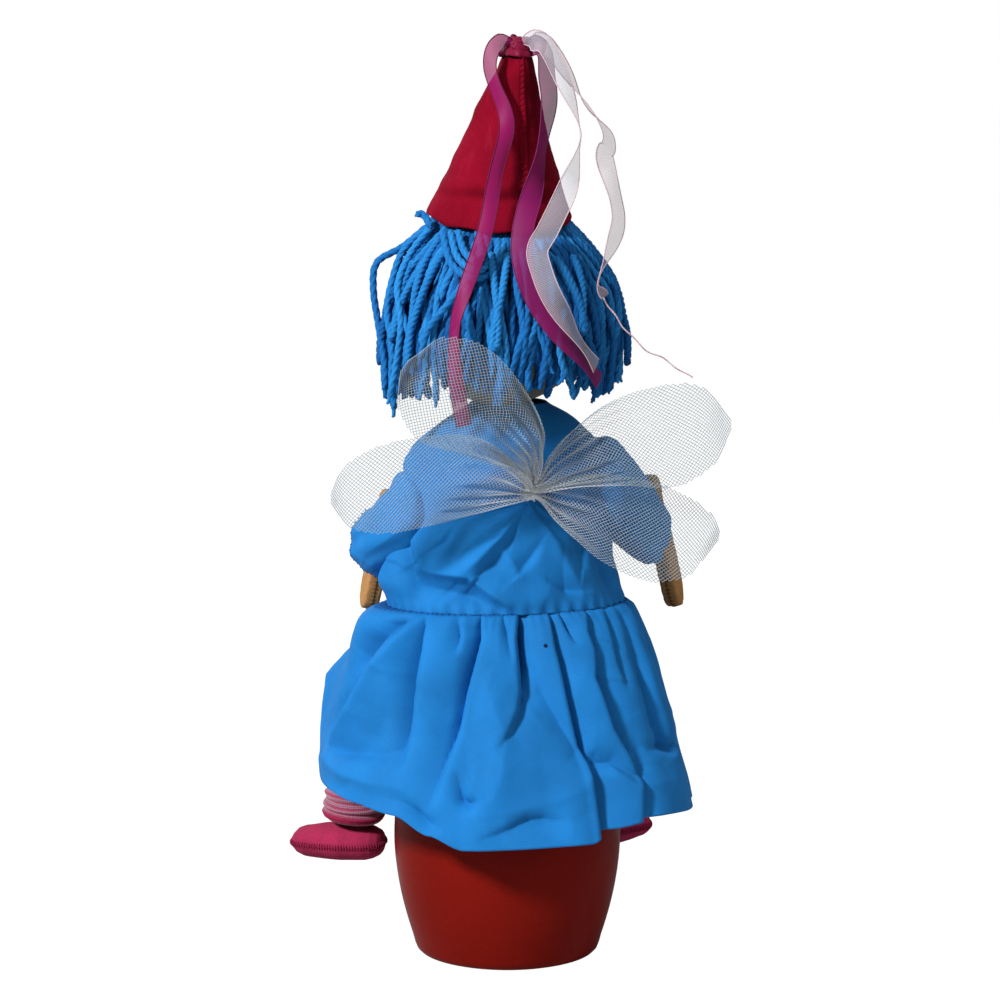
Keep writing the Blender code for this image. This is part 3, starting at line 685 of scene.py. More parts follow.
# folds across the back of the skirt: (degrees, share of the way down, depth) along each, and its reach
# towards lower and higher degrees, or below and above where it runs level
SKIRT_FOLDS = [
    ([(29, 0, 4), (30, 0.03, 6), (32, 0.18, 8), (33, 0.33, 8), (34, 0.47, 7), (35, 0.71, 4), (36, 0.8, 0)],
     5, 3),
    ([(58, 0, 4), (60, 0.1, 5.5), (58, 0.22, 6.5), (56, 0.34, 7), (55, 0.49, 6.5), (54, 0.56, 5.5),
      (50, 0.8, 2), (48, 0.9, 0)], 8, 1.6),
    ([(85, 0, 5), (83, 0.1, 7), (84, 0.24, 7), (84, 0.32, 5), (82, 0.4, 3.5), (78, 0.48, 2.5),
      (72, 0.57, 0)], 1.4, 9),
    ([(90, 0.2, 0), (95, 0.33, 2.5), (102, 0.47, 4), (108, 0.61, 4), (111, 0.72, 0)], 11, 6),
    ([(107, 0, 3), (106, 0.14, 4), (107, 0.23, 5), (108, 0.39, 6), (110, 0.55, 7), (112, 0.68, 8),
      (112, 0.76, 7), (112, 0.85, 6), (111, 1.0, 5)], 1.4, 9),
    ([(134, 0, 3), (128, 0.1, 4.5), (128, 0.18, 5), (124, 0.31, 7), (125, 0.42, 8), (126, 0.56, 7),
      (130, 0.7, 6), (131, 0.77, 3), (131, 0.85, 0)], 1.4, 13),
    ([(132, 0.77, 2), (130, 0.88, 4), (127, 1.0, 4)], 1.4, 7),
    ([(113, 0.7, 0), (116, 0.715, 3.5), (122, 0.72, 4.5), (128, 0.8, 3), (129, 0.83, 0)], 1.8, 6),
    ([(156, 0.05, 2), (152, 0.22, 3), (150, 0.36, 4.5), (150, 0.57, 5), (152, 0.69, 4), (153, 0.74, 0)],
     6, 2.5),
    ([(138, 0.7, 0), (146, 0.69, 2.5), (154, 0.7, 3), (162, 0.68, 2)], 2, 4),
    ([(24, 0.02, 4), (17, 0.09, 6), (11, 0.18, 5.5), (5, 0.30, 2)], 6, 5),
    ([(28, 0.03, -3), (24, 0.19, -4), (20, 0.28, -4), (16, 0.42, -4), (12, 0.53, -3.5), (0, 0.76, -2)],
     3.5, 6),
    ([(16, 0.15, 0), (9, 0.3, 6), (4, 0.45, 7), (0, 0.6, 6), (-6, 0.72, 2)], 12, 3.5),
    ([(27, 0.4, 0), (26, 0.55, 1.6), (24, 0.66, 2.2), (20, 0.78, 0)], 9, 9),
    ([(-4, 0.80, 1), (8, 0.79, 2.2), (17, 0.77, 2.6), (28, 0.76, 2.2), (36, 0.70, 0)], 2.2, 7),
    ([(0, 0.86, -2.5), (15, 0.86, -4), (28, 0.87, -4), (36, 0.86, -2)], 8, 6),
    ([(40, 0.93, 1.5), (45, 0.93, 3), (50, 0.95, 2)], 2.5, 4),
    ([(57, 0.66, 0), (60, 0.78, 3), (63, 0.79, 3), (67, 0.76, 0)], 2.5, 3),
    ([(66, 0.95, 0), (74, 0.92, 1.8), (84, 0.88, 2.6), (90, 0.88, 2.2), (100, 0.9, 0)], 6, 2.5),
    ([(46, 0.02, 2), (49, 0.1, 3), (50, 0.18, 0)], 4, 2),
    ([(115, 0, 2), (117, 0.08, 3), (118, 0.15, 0)], 2, 4),
    ([(73, 0, 2), (76, 0.08, 2.2), (79, 0.2, 0)], 3, 3),
    ([(147, 0, 2), (143, 0.12, 3), (140, 0.26, 3), (138, 0.4, 0)], 2, 5),
    ([(168, 0, 3), (166, 0.3, 4), (165, 0.6, 3), (164, 1, 2)], 4, 4),
    ([(64, 0.24, 0), (70, 0.36, -1.8), (76, 0.5, -2), (74, 0.7, -1.5), (66, 0.86, 0)], 9, 9),
]


def pleat_depth(degrees, down):
    """How far the plain pleats of the front and the sides move the skirt out."""
    push = 0.0
    for place, half, depth_top, depth_low in PLEATS:
        off = degrees_from(degrees, place)
        spread = half + (PLEAT_HALF_AT_HEM - half) * down
        depth = (depth_top + (depth_low - depth_top) * np.sqrt(down)) * np.clip(down / 0.05, 0.12, 1)
        edge = np.where(off > 0, off * 1.7, -off * 0.55)
        push = push - depth * np.exp(-(edge / spread) ** 1.25)
        push = push + 0.42 * depth * bell(edge - 2.2 * spread, 1.3 * spread)
    return push


def skirt_grid(rows, columns):
    down = np.linspace(0, 1, rows)[:, None]
    degrees = (np.arange(columns) * 360.0 / columns)[None, :]
    angle = np.radians(degrees)
    reach, hem, swell = (around([(d, row[k]) for d, row in HEM], degrees) for k in range(3))
    waist = 1 / np.sqrt((np.cos(angle) / 56) ** 2 + (np.sin(angle) / 36) ** 2)
    radius = waist + (reach - waist) * down ** swell + pleat_depth(degrees, down)
    gather = np.sin(angle * 62 + 2.2 * np.sin(angle * 5)) * np.exp(-(down / 0.06))
    radius = radius + 0.25 * gather

    # one degree is about 1.35 mm of cloth, and lines are drawn from -90 to 270 degrees
    lines = [([(a * 1.35, d * SKIRT_DROP, 1.5 * deep) for a, d, deep in places], low, high)
             for places, low, high in SKIRT_FOLDS]
    folds = crimp(((degrees + 90) % 360 - 90) * 1.35, down * SKIRT_DROP, lines)
    radius = radius + folds * np.clip(0.45 + down * 9, 0, 1)

    cloth = (degrees / 360 * SKIRT_ROUND, down * SKIRT_DROP, SKIRT_ROUND, SKIRT_DROP)
    fine = creases(*cloth, 46, 11, 0.9, 46) + creases(*cloth, 60, 12, 0.6, 22)
    broad = creases(*cloth, 12, 17, 1.2, 90)
    back = 0.5 + 0.5 * np.clip(np.sin(angle) + 0.3, 0, 1)
    radius = radius + (fine + broad) * np.clip(down * 4, 0, 1) * back - 1.6 * np.clip(down * 2, 0, 1)
    height = WAIST_Z + (hem - WAIST_Z) * down
    points = np.stack([radius * np.cos(angle), 2 + radius * np.sin(angle), height], axis=-1)
    points[..., 2] += rumple(points, 34, 2.0, 5.0) * np.clip(down * 2, 0, 1)

    flare = np.exp(-degrees_from(degrees, 18) ** 2 / 700.0) * np.clip((down - 0.86) / 0.14, 0, 1) ** 2
    push = rumple(points, 26, 1.6, 1.0) * np.clip(down * 3, 0, 1) + 3.0 * flare
    out = np.stack([np.cos(angle), np.sin(angle), 0 * angle], axis=-1)
    return points + out * push[..., None]


def hem_stitches(points):
    """A running stitch every fourth column, on the row above the hem."""
    stitches = Heap()
    columns = points.shape[1]
    normals = outward(points)[-2]
    for c in range(0, columns, 4):
        first, middle, last = points[-2, [c, (c + 1) % columns, (c + 2) % columns]]
        out = normals[c]
        stitches.stitch([first - out * 0.3, first + out * 0.15, middle + out * 0.3, last + out * 0.15,
                         last - out * 0.3], 0.17, count=7)
    thread = felted("hem_thread", (0.008, 0.10, 0.32), 0.8, 0.2)
    return stitches.put("hem_running_stitches", thread, "figure", slot="blue_cotton")


def waist_stitches(points):
    """Slanted stitches that hold the skirt to the bodice."""
    seam = Heap()
    columns = points.shape[1]
    for c in range(0, columns, 4):
        ends = np.array([points[0, c], points[1, (c + 3) % columns]])
        out = unit(ends * [1, 1, 0])
        seam.stitch([ends[0] - out[0] * 0.6 + [0, 0, 0.9], ends.mean(0) + out[0] * 0.35 + [0, 0, 0.9],
                     ends[1] - out[1] * 0.6 + [0, 0, 1.0]], 0.10)
    thread = felted("seam_thread", (0.004, 0.05, 0.19), 0.8, 0.2)
    return seam.put("waist_stitches", thread, "figure", slot="blue_cotton")


def build_eyelet(spot):
    """The small dark dot near the top of the skirt."""
    dot = Heap()
    line = np.array([spot - [0, 1.6, 0], spot + [0, 0.5, 0], spot + [0, 1.1, 0]])
    dot.add(*tube_mesh(line, [0.9, 1.0, 0.6], 14, reference=(1, 0, 0)))
    thread = felted("eyelet_thread", (0.004, 0.016, 0.05), 0.8, 0.1)
    dot.put("eyelet_dot", thread, "figure", slot="blue_cotton")


def build_skirt(cotton):
    points = skirt_grid(100, 480)
    skirt = put_cloth("skirt_cloth", points, COTTON_THICK, cotton, "figure", "dress_skirt", "blue_cotton",
                      round_m=0.50)
    hem = hem_stitches(points)
    waist = waist_stitches(points)
    build_eyelet(points[13, 132])


# ---------- bodice ----------

# height, half width and half depth
BODICE = [(167.3, 56, 36), (178, 54, 35.5), (189, 50, 34.5), (205, 50, 33), (222, 50, 31), (235, 49, 28),
          (244, 43, 26), (254, 31, 22), (260, 21, 17.5), (262, 17.5, 16)]
GATHER_X, GATHER_Z = -2.0, 219.0
# creases that run from the wings' gather: their direction in radians from straight down, width and depth
GATHER_RAYS = [(-1.25, 0.09, 1.6), (-0.95, 0.08, 1.1), (-0.62, 0.10, 1.3), (0.60, 0.10, 1.4),
               (0.86, 0.09, 1.2), (1.2, 0.1, 1.6), (1.6, 0.12, 1.3), (-1.65, 0.12, 1.3)]
# folds across the back of the bodice: (x, height, depth) along each, and its reach to the left and the
# right of it, seen from behind, or below and above where it runs to the right
BODICE_FOLDS = [
    ([(54, 189, -3), (40, 186, -5.5), (26, 184.5, -6), (16.5, 177, -5.5), (2.4, 167, -3)], 2.2, 13),
    ([(49, 181, 2), (36, 178, 3.5), (24, 175, 3.5), (15, 168, 2)], 5, 4),
    ([(12, 199, 1), (16, 192, 3), (21.2, 185.5, 2)], 1.4, 7),
    ([(-8, 199, 1), (-3, 192, 3), (3.4, 186, 1.5)], 6, 1.4),
    ([(10.6, 197, -1), (6, 191, -2), (3.4, 186, -1.5)], 3, 3),
    ([(1, 216, -1), (9, 206, -3), (21, 193, -3), (29, 185, -1)], 10, 2.5),
    ([(-8, 212, -1), (-15, 199, -2.5), (-23, 185, -2.5), (-31, 170, -1)], 3, 10),
    ([(-36, 200, 1), (-43, 183, 4), (-49, 171, 3)], 4, 2),
    ([(50, 212, 3), (53, 200, 5.5), (51, 189, 4)], 4, 2),
    ([(30, 209, 1), (36, 200, 3), (47, 192, 2)], 1.6, 7),
    ([(-26, 207, 1), (-31, 197, 2.6), (-29, 187, 1)], 6, 1.4),
    ([(-12, 182, 1), (-20, 177, 2.2), (-27, 176, 1)], 1.6, 4),
]


def gather_pull(x, h):
    """The point and the creases that the wings' gather pulls up in the middle of the back."""
    dx, dz = x - GATHER_X, h - GATHER_Z
    far = np.hypot(dx, dz)
    ray = np.arctan2(dx, -dz)
    rays = 0.0
    for at, width, depth in GATHER_RAYS:
        off = ray - at - 0.12 * np.sin(far / 14 + at * 5)
        rays = rays - depth * bell(off, width) + 0.5 * depth * bell(off - 1.8 * width, width)
    return rays * bell(far - 14, 17.0) + 3.6 * bell(far, 5.5)


def bodice_shell(rows, columns):
    """The bodice without its folds, bagging out at the left side, under the sleeve, and its heights."""
    z = np.linspace(167.0, 262.0, rows)
    turn = angles(columns)
    ovals = np.array(BODICE, float)
    kernel = np.ones(7) / 7
    wide, deep = (np.convolve(np.pad(np.interp(z, ovals[:, 0], ovals[:, k]), 3, "edge"), kernel, "valid")
                  for k in (1, 2))
    points = np.stack([wide[:, None] * np.cos(turn), 2 + deep[:, None] * np.sin(turn),
                       z[:, None] + 0 * turn], axis=-1)
    bag = bell(z - 183, np.where(z < 183, 11.0, 25.0))[:, None] * np.exp(
        -degrees_from(np.degrees(turn), 4) ** 2 / 1500.0)
    return points, points + np.stack([10.5 * bag, 1.5 * bag, 0 * bag], axis=-1), z


def build_bodice(cotton):
    rows, columns = 120, 400
    smooth, points, z = bodice_shell(rows, columns)
    normal = outward(smooth)
    if normal[rows // 2, columns // 4, 1] < 0:
        normal = -normal
    x, y, h = (points[..., k] for k in range(3))
    back = np.clip(y / 20, 0, 1)
    under_arm = -3.2 * bell(x - 47 + (h - 190) * 0.10, 5.0) * bell(h - 186, 18.0)
    under_arm *= np.clip((y + 5) / 15, 0, 1)
    push = gather_pull(x, h) * back + under_arm - 0.9 + rumple(points, 19, 1.0, 3.0)
    wide, tall = 285, 95
    cloth = ((np.arange(columns) / columns * wide)[None, :], (262 - z)[:, None], wide, tall)
    push = push + creases(*cloth, 40, 5, 0.9, 44) + creases(*cloth, 60, 6, 0.5, 20)
    lines = [([(-a, -b, deep) for a, b, deep in places], left, right) for places, left, right in BODICE_FOLDS]
    push = push + crimp(-x, -h, lines) * back
    at_waist = bell(h - 167, 5.0)
    push = push * (1 - 0.7 * at_waist) + 0.45 * np.sin(angles(columns) * 46)[None, :] * at_waist
    piece = put_cloth("bodice_cloth", points + normal * push[..., None], COTTON_THICK, cotton, "figure",
                      "dress_bodice", "blue_cotton")


# ---------- sleeves ----------

# centre, direction across, half width and half height of each section, from the shoulder to the cuff
SLEEVES = {
    "left": [((33, 0, 212), (0, 1, 0), 16, 17), ((43, 0, 211), (0, 1, 0), 19, 20.5),
             ((51, 0, 209), (0, 1, 0), 20, 21), ((56.5, -6, 203), (0.35, 0.94, 0), 19, 19),
             ((58, -14.5, 197), (0.72, 0.69, 0), 17, 18), ((56.5, -23, 193.5), (0.97, 0.24, 0), 16, 17.5)],
    "right": [((33, 0, 220), (0, 1, 0), 16, 17), ((43, 0, 219.5), (0, 1, 0), 20, 23.5),
              ((51, 0, 218.5), (0, 1, 0), 21, 24.5), ((58, -5, 211), (0.22, 0.97, 0), 20, 24),
              ((66, -12, 203), (0.45, 0.89, 0), 18, 21.5), ((73, -19.5, 196.5), (0.60, 0.80, 0), 15.5, 18.5)],
}


def sleeve_grid(stations, side, rows, columns):
    def along(values):
        values = np.array(values, float)
        q = np.vstack([2 * values[:1] - values[1:2], values, 2 * values[-1:] - values[-2:-1]])
        at = np.linspace(0, len(values) - 1, rows)
        i = np.minimum(at.astype(int), len(values) - 2)
        return cubic(q[i], q[i + 1], q[i + 2], q[i + 3], (at - i)[:, None])

    centre = along([c for c, _, _, _ in stations])
    across = unit(along(unit([d for _, d, _, _ in stations])))
    half = along([(w, t) for _, _, w, t in stations])
    turn = angles(columns)
    up = np.array([0.0, 0.0, 1.0])
    points = (centre[:, None] + across[:, None] * (half[:, :1] * np.cos(turn))[..., None]
              + up * (half[:, 1:] * np.sin(turn))[..., None])
    return points * [side, 1, 1]


def build_sleeve(cotton, side, name):
    rows, columns = 80, 160
    points = sleeve_grid(SLEEVES[name], side, rows, columns)
    normal = outward(points)
    normal *= np.sign(((points - points.mean(axis=1, keepdims=True)) * normal).sum(-1).mean())
    share = np.linspace(0, 1, rows)[:, None]
    turn = angles(columns)
    folds = 0.5 * np.sin(turn * 5 + 1.3 * side + 2.2 * share) + 0.4 * np.sin(turn * 9 + 3 * share + 1)
    push = folds * np.clip(share * 1.6, 0.15, 1) - 1.2 + rumple(points, 16, 1.2, 4.0 + side)
    wide, tall = 125, 55
    push = push + creases((turn / TAU * wide)[None, :], share * tall, wide, tall, 30, 21 + side, 1.0, 34)
    points = points + normal * push[..., None]
    piece = put_cloth("sleeve_cloth_" + name, points, COTTON_THICK, cotton, None, "sleeve_" + name,
                      "blue_cotton")
    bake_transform(piece)
    stitches = Heap()
    for c in range(0, columns, 4):
        edge, inner, out = points[-1, c], points[-5, c], normal[-3, c]
        stitches.stitch([inner + out * 0.1, (edge + inner) / 2 + out * 0.4, edge + out * 0.1,
                         edge - out * 0.5], 0.2)
    thread = felted("cuff_thread_" + name, (0.012, 0.075, 0.24), 0.8, 0.2)
    cuff = stitches.put("cuff_stitches_" + name, thread, "arm_" + name, slot="blue_cotton")


# ---------- hands ----------

# outline from the wrist round the thumb and the mitten, forward and up from the wrist
HAND = [(0, 7), (6, 9), (9, 16), (12, 20.5), (16, 20), (18.5, 15), (18, 6), (20, -3), (22, -15), (23, -28),
        (21, -36), (17, -39), (13, -36), (11.5, -28), (10, -18), (3, -11), (-1, -7)]
# wrist, forward and up directions, all mirrored for the right hand, and how much longer its mitten is
HANDS = {
    "left": ((49.5, -27.0, 196.0), (0.12, -0.99, 0), (-0.17, 0, 0.98), 1.0),
    "right": ((71.5, -17.5, 201.0), (0.62, -0.78, 0), (-0.19, 0, 0.98), 1.2),
}


def build_hand(side, name, felt, seam_thread):
    wrist, forward, rise = (np.array(v, float) * [side, 1, 1] for v in HANDS[name][:3])
    longer = HANDS[name][3]
    forward, rise = unit(forward), unit(rise)
    places = [(a, b * longer if b < -12 else b, 0) for a, b in HAND]
    flat = curve_points(places, 150, closed=True)[:-1, :2]
    flat += (flat.mean(axis=0) - flat) * 0.02
    rim = wrist + forward * flat[:, :1] + rise * flat[:, 1:]
    aside = np.cross(forward, rise)
    half_thick, n = 4.0, len(rim)
    faces = [(i, (i + 1) % n, n + (i + 1) % n, n + i) for i in range(n)]
    faces += [tuple(range(n))[::-1], tuple(range(n, 2 * n))]
    verts = np.vstack([rim - aside * half_thick, rim + aside * half_thick])
    hand = put("hand_felt_" + name, verts, faces, felt, "arm_" + name, ["hand_" + name], slot="tan_felt")
    modify(hand, "REMESH", mode="VOXEL", voxel_size=0.0007, use_smooth_shade=True)
    modify(hand, "SMOOTH", factor=0.5, iterations=14)

    ahead = unit(np.roll(rim, -1, axis=0) - np.roll(rim, 1, axis=0))
    out = np.cross(ahead, aside)
    if ((rim - rim.mean(axis=0)) * out).sum() < 0:
        out = -out
    seam = Heap()
    for i in range(0, n, 2):
        under, over = rim[i] - out[i] * 0.9, rim[i] + out[i] * 0.12
        seam.stitch([under - aside * 2.6, over - aside * 0.8, over + aside * 0.8, under + aside * 2.6], 0.2,
                    count=7, reference=ahead[i])
    edge = rim + out * 0.05
    seam.add(*tube_mesh(np.vstack([edge, edge[:1]]), 0.28, 6, reference=aside, caps=False))
    seam.put("hand_seam_" + name, seam_thread, "arm_" + name, slot="tan_felt")


# ---------- legs ----------

# share of the way from heel to toe, half width, half height
SHOE = [(0, 3.4, 2.8), (0.02, 6.6, 5.4), (0.05, 9, 7), (0.12, 11.2, 8.7), (0.2, 12.5, 9.6), (0.45, 14, 10),
        (0.65, 13.2, 9.3), (0.85, 11, 8), (0.93, 9.0, 6.6), (0.98, 5.8, 4.3), (1, 3.4, 2.6)]


def build_stocking(side, name, knit):
    """The wrinkled knit from the round end at the knee to the ankle.

    Returns the ankle, the direction down the leg, and two directions across it.
    """
    knee, ankle = np.array([58.0 * side, -62, 112]), np.array([62.0 * side, -66.5, 50])
    length = np.linalg.norm(ankle - knee)
    travel = (ankle - knee) / length
    rows, sides = 150, 56
    at = np.linspace(-12.3, length, rows)
    share = np.clip(at / length, 0, 1)
    radii = np.interp(share, [0, 0.35, 0.6, 0.85, 0.96, 1], [12.5, 12.8, 13.4, 15, 15, 13])
    round_end = np.clip(-at / 12.5, 0, 0.999)
    wrinkle = 0.55 * np.sin(at * 1.55 + 0.8 * np.sin(at * 0.3)) + 0.3 * np.sin(at * 2.7)
    radii = radii * np.sqrt(1 - round_end ** 2) - 0.5 + wrinkle * np.clip((share - 0.05) * 3, 0, 1)
    line = knee + travel * at[:, None]
    _, normal, other = frames_along(line, (0.2, 1, 0.1))
    turn = np.arange(sides + 1) * TAU / sides
    tilt = 1.3 * np.cos(turn - 0.6 * side)[None, :] * np.clip(share * 2, 0, 1)[:, None]
    points = (line[:, None] + spokes(normal, other, turn) * radii[:, None, None]
              + travel * (tilt * np.sin(at[:, None] * 0.5))[..., None])
    stocking = put("stocking_" + name + "_knit", points, grid_faces(rows, sides + 1), knit, "leg_" + name,
                   ["stocking_" + name], uv=grid_uv(points), slot="striped_knit")
    modify(stocking, "WELD", merge_threshold=SEAM_MERGE)
    return ankle, travel, normal[-1], other[-1]


def build_shoe(side, name, felt, felt_edge):
    heel, toe = np.array([47.5 * side, -60, 39]), np.array([90.0 * side, -79, 38])
    rows, sides = 72, 64
    share = (1 - np.cos(np.linspace(0, math.pi, rows))) / 2
    table = np.array(SHOE)
    wide, high = (np.interp(share, table[:, 0], table[:, k]) - 0.5 for k in (1, 2))
    ahead = unit(toe - heel)
    aside = unit(np.cross(ahead, [0, 0, 1.0]))
    up = np.cross(aside, ahead)
    turn = angles(sides)
    flatter = np.where(np.sin(turn) < 0, 0.93, 1.0)
    line = heel + (toe - heel) * share[:, None]
    points = (line[:, None] + aside * (wide[:, None] * np.cos(turn))[..., None]
              + up * (high[:, None] * np.sin(turn) * flatter)[..., None])
    points[..., 2] += rumple(points, 9, 0.5, 2.0 + side)
    shoe = put("shoe_felt_" + name, points, closed_faces(rows, sides), felt, "leg_" + name,
               ["shoe_" + name], slot="pink_felt")

    seam = Heap()
    rim = np.vstack([points[:, 0], points[::-1, sides // 2], points[:1, 0]])
    seam.add(*tube_mesh(evenly(rim, 150), 0.42, 6, reference=(0, 0, 1), caps=False))
    even = evenly(rim, 92)
    for p in even[:-1]:
        out = unit((p - even.mean(axis=0)) * [1, 1, 0])
        under, over = p - out * 1.0, p + out * 0.45
        seam.stitch([under + [0, 0, 2.0], over + [0, 0, 0.9], over - [0, 0, 0.9], under - [0, 0, 2.0]], 0.22,
                    reference=(0.4, 0.4, 0))
    seam.put("shoe_seam_" + name, felt_edge, "leg_" + name, slot="pink_felt")


def build_collar(name, felt_edge, ankle, travel, normal, other):
    """Two rolled rings of felt round the ankle."""
    collar = Heap()
    turn = np.linspace(0, TAU, 60)[:, None]
    out = normal * np.cos(turn) + other * np.sin(turn)
    for lift, ring, thick in ((0.0, 14.6, 0.9), (1.2, 14.2, 0.7)):
        line = ankle + travel * (lift - 3.5) + out * ring
        collar.add(*tube_mesh(line, thick, 8, reference=(0, 0, 1), caps=False))
    collar.put("shoe_collar_" + name, felt_edge, "leg_" + name, slot="pink_felt")


def build_leg(side, name, knit, felt, felt_edge):
    ankle_ring = build_stocking(side, name, knit)
    build_shoe(side, name, felt, felt_edge)
    build_collar(name, felt_edge, *ankle_ring)


# ---------- head and face ----------

HEAD = np.array([3.0, 0.0, 304.0])
HEAD_HALF = np.array([42.0, 41.0, 45.0])


def on_head(across, up, out=0.0):
    """A point on the front of the head, this far across and up from its middle."""
    depth = math.sqrt(max(0.0, 1 - (across / HEAD_HALF[0]) ** 2 - (up / HEAD_HALF[2]) ** 2))
    return HEAD + np.array([across, -depth * HEAD_HALF[1] - out, up])


def build_head():
    rows, sides = 96, 120
    points = ball(rows, sides, 0.02) * (HEAD_HALF - 0.5)
    out = unit(points)
    points = HEAD + points + out * rumple(points, 24, 0.8)[..., None]
    x, y, z = (points[..., k] for k in range(3))
    cheek = np.exp(-((x - 3) ** 2 / 900 + (z - 292) ** 2 / 160)) * (y < 0)
    points = points + out * (0.5 * cheek)[..., None]
    head = put("head_padding", points, closed_faces(rows, sides), head_cloth(), "head", ["head"],
               slot="skin_cloth")


def build_eye(name, across):
    spot = on_head(across, 3.0, 2.2)
    look = unit(spot - HEAD)
    profile = [(-2.0, 0.6), (-1.7, 2.0), (-0.6, 2.85), (0.6, 2.9), (1.6, 2.4), (2.3, 1.4), (2.65, 0.3)]
    bead = Heap()
    bead.add(*tube_mesh(np.array([spot + look * a for a, _ in profile]), [r for _, r in profile], 28,
                        reference=(0, 0, 1)))
    bead.put("eye_bead_" + name, bead_black(), "head", replaces=["eye_" + name], slot="black_bead")


def build_nose():
    rows, sides = 24, 36
    points = ball(rows, sides) * [3.8, 3.4, 3.8]
    points = on_head(0.0, -6.0, 3.6) + points + rumple(points, 3.0, 0.2)[..., None]
    pink = felted("nose_felt", (0.62, 0.30, 0.24), 0.95, 0.4)
    put("nose_felt", points, closed_faces(rows, sides), pink, "head", ["nose"], slot="pink_felt")


def build_mouth():
    """A curved stitch of two-ply thread."""
    line = np.array([on_head(across, -21 + across ** 2 / 26, 0.9) for across in np.linspace(-9.6, 9.6, 90)])
    mouth = two_ply(line, 22, 0.42, (0, 0, 1), 0.5, sides=8, reference=(0, 0, 1))
    mouth.put("mouth_stitch", felted("mouth_thread", (0.42, 0.04, 0.07), 0.85, 0.3), "head",
              replaces=["mouth"], slot="crimson_felt")


# ---------- hair ----------

# share of the way down the hair, how far it stands out from the head's axis, height
HAIR_DOWN = [0, 0.2, 0.4, 0.7, 1.0]
HAIR_OUT = [32, 45, 53, 58, 57]
HAIR_Z = [0, 329, 314, 292, 265]
UNDER_BRIM = 0.2    # share of the way down over which the strands leave the brim
BRIM_SLOPE = 0.21
# first and last degrees of each piece, and the length of its strands as a share of the way down
HAIR = {
    "hair_left": (306.4, 400.0, 1.0),
    "hair_back": (40.7, 139.3, 1.0),
    "hair_right": (140.0, 233.6, 1.0),
    "hair_fringe": (234.3, 305.7, 0.42),
}
# how far each layer lies inside the hair's surface, and the degrees between its strands
HAIR_LAYERS = [(5.0, 4.4), (2.4, 4.6), (0.0, 5.0)]
# bights of yarn that hang over the rest: degrees, and how far down each starts
HAIR_BIGHTS = {
    "hair_left": [(8, 0.10), (20, 0.2), (32, 0.05)],
    "hair_back": [(75, 0.1), (118, 0.15)],
    "hair_right": [(160, 0.1), (185, 0.2)],
}
# strands that stand off from the rest: their middle lines from the brim down
LOOSE_YARN = {
    "hair_left": [
        [(38, 6, 344), (50, 4, 334), (62, 4, 327), (64, 5, 315), (62, 7, 298), (60, 11, 280), (60, 10, 268)],
        [(38, 9, 344), (50, 7, 333), (56, 9, 319), (59, 12, 305), (58, 18, 290), (58, 17, 275),
         (57, 17, 260)],
        [(38, 12, 344), (48, 11, 331), (55, 17, 317), (55, 24, 300), (57, 21, 280), (59, 17, 266)],
        [(39, 14, 343), (40, 9, 347), (42, 7, 349), (45, 7, 348)],
    ],
    "hair_back": [
        [(26, 43, 325), (36, 46, 313), (46, 41, 299), (49, 38, 285)],
    ],
}
# half width and drop of each turn of the coil pinned under the brim
COIL_TURNS = [(11.5, 20.5), (8.0, 17.0), (4.5, 13.0)]


def coil_line(half, drop):
    """One turn of the coil, a loop that hangs from the brim over the rest of the yarn."""
    turn = np.linspace(0, math.pi, 9)
    low = np.sin(turn)
    return np.stack([24.5 + half * np.cos(turn), 25 + 21 * low ** 0.8, 342.5 - drop * low ** 0.55], axis=1)


def strand_mesh(line, radius, twist, phase):
    """Three-ply yarn as one tube, whose three-lobed section turns once in every length of twist.

    Its last value, the groove of each vertex, is 0 between the plies; the yarn material paints shade and
    highlight from it.
    """
    level = abs(line[-1, 2] - line[0, 2]) < 5
    _, normal, other = frames_along(line, (0.2, 0.1, 1.0) if level else (1, 0.3, 0))
    steps = travelled(line)
    turn = angles(12)
    lobe = np.abs(np.cos(1.5 * turn))
    winding = turn[None, :] + (TAU * steps / twist + phase)[:, None]
    section = radius * (0.80 + 0.20 * lobe)[None, :]
    ends = np.clip(np.minimum(steps, steps[-1] - steps) / 1.6, 0.3, 1)[:, None]
    verts = (line[:, None] + spokes(normal, other, winding) * (section * ends)[..., None]).reshape(-1, 3)
    return verts, closed_faces(len(line), len(turn)), np.tile(lobe, len(line))


def hair_height(down, angle, brim_z):
    """Height of the hair, which starts at the sloping brim."""
    brim = brim_z - BRIM_SLOPE * 45 * np.sin(angle)
    return np.where(down < UNDER_BRIM, brim + (HAIR_Z[1] - brim) * down / UNDER_BRIM,
                    np.interp(down, HAIR_DOWN, HAIR_Z))


def round_head(out, angle, z):
    return np.stack([HEAD[0] + out * np.cos(angle), out * np.sin(angle), z], axis=1)


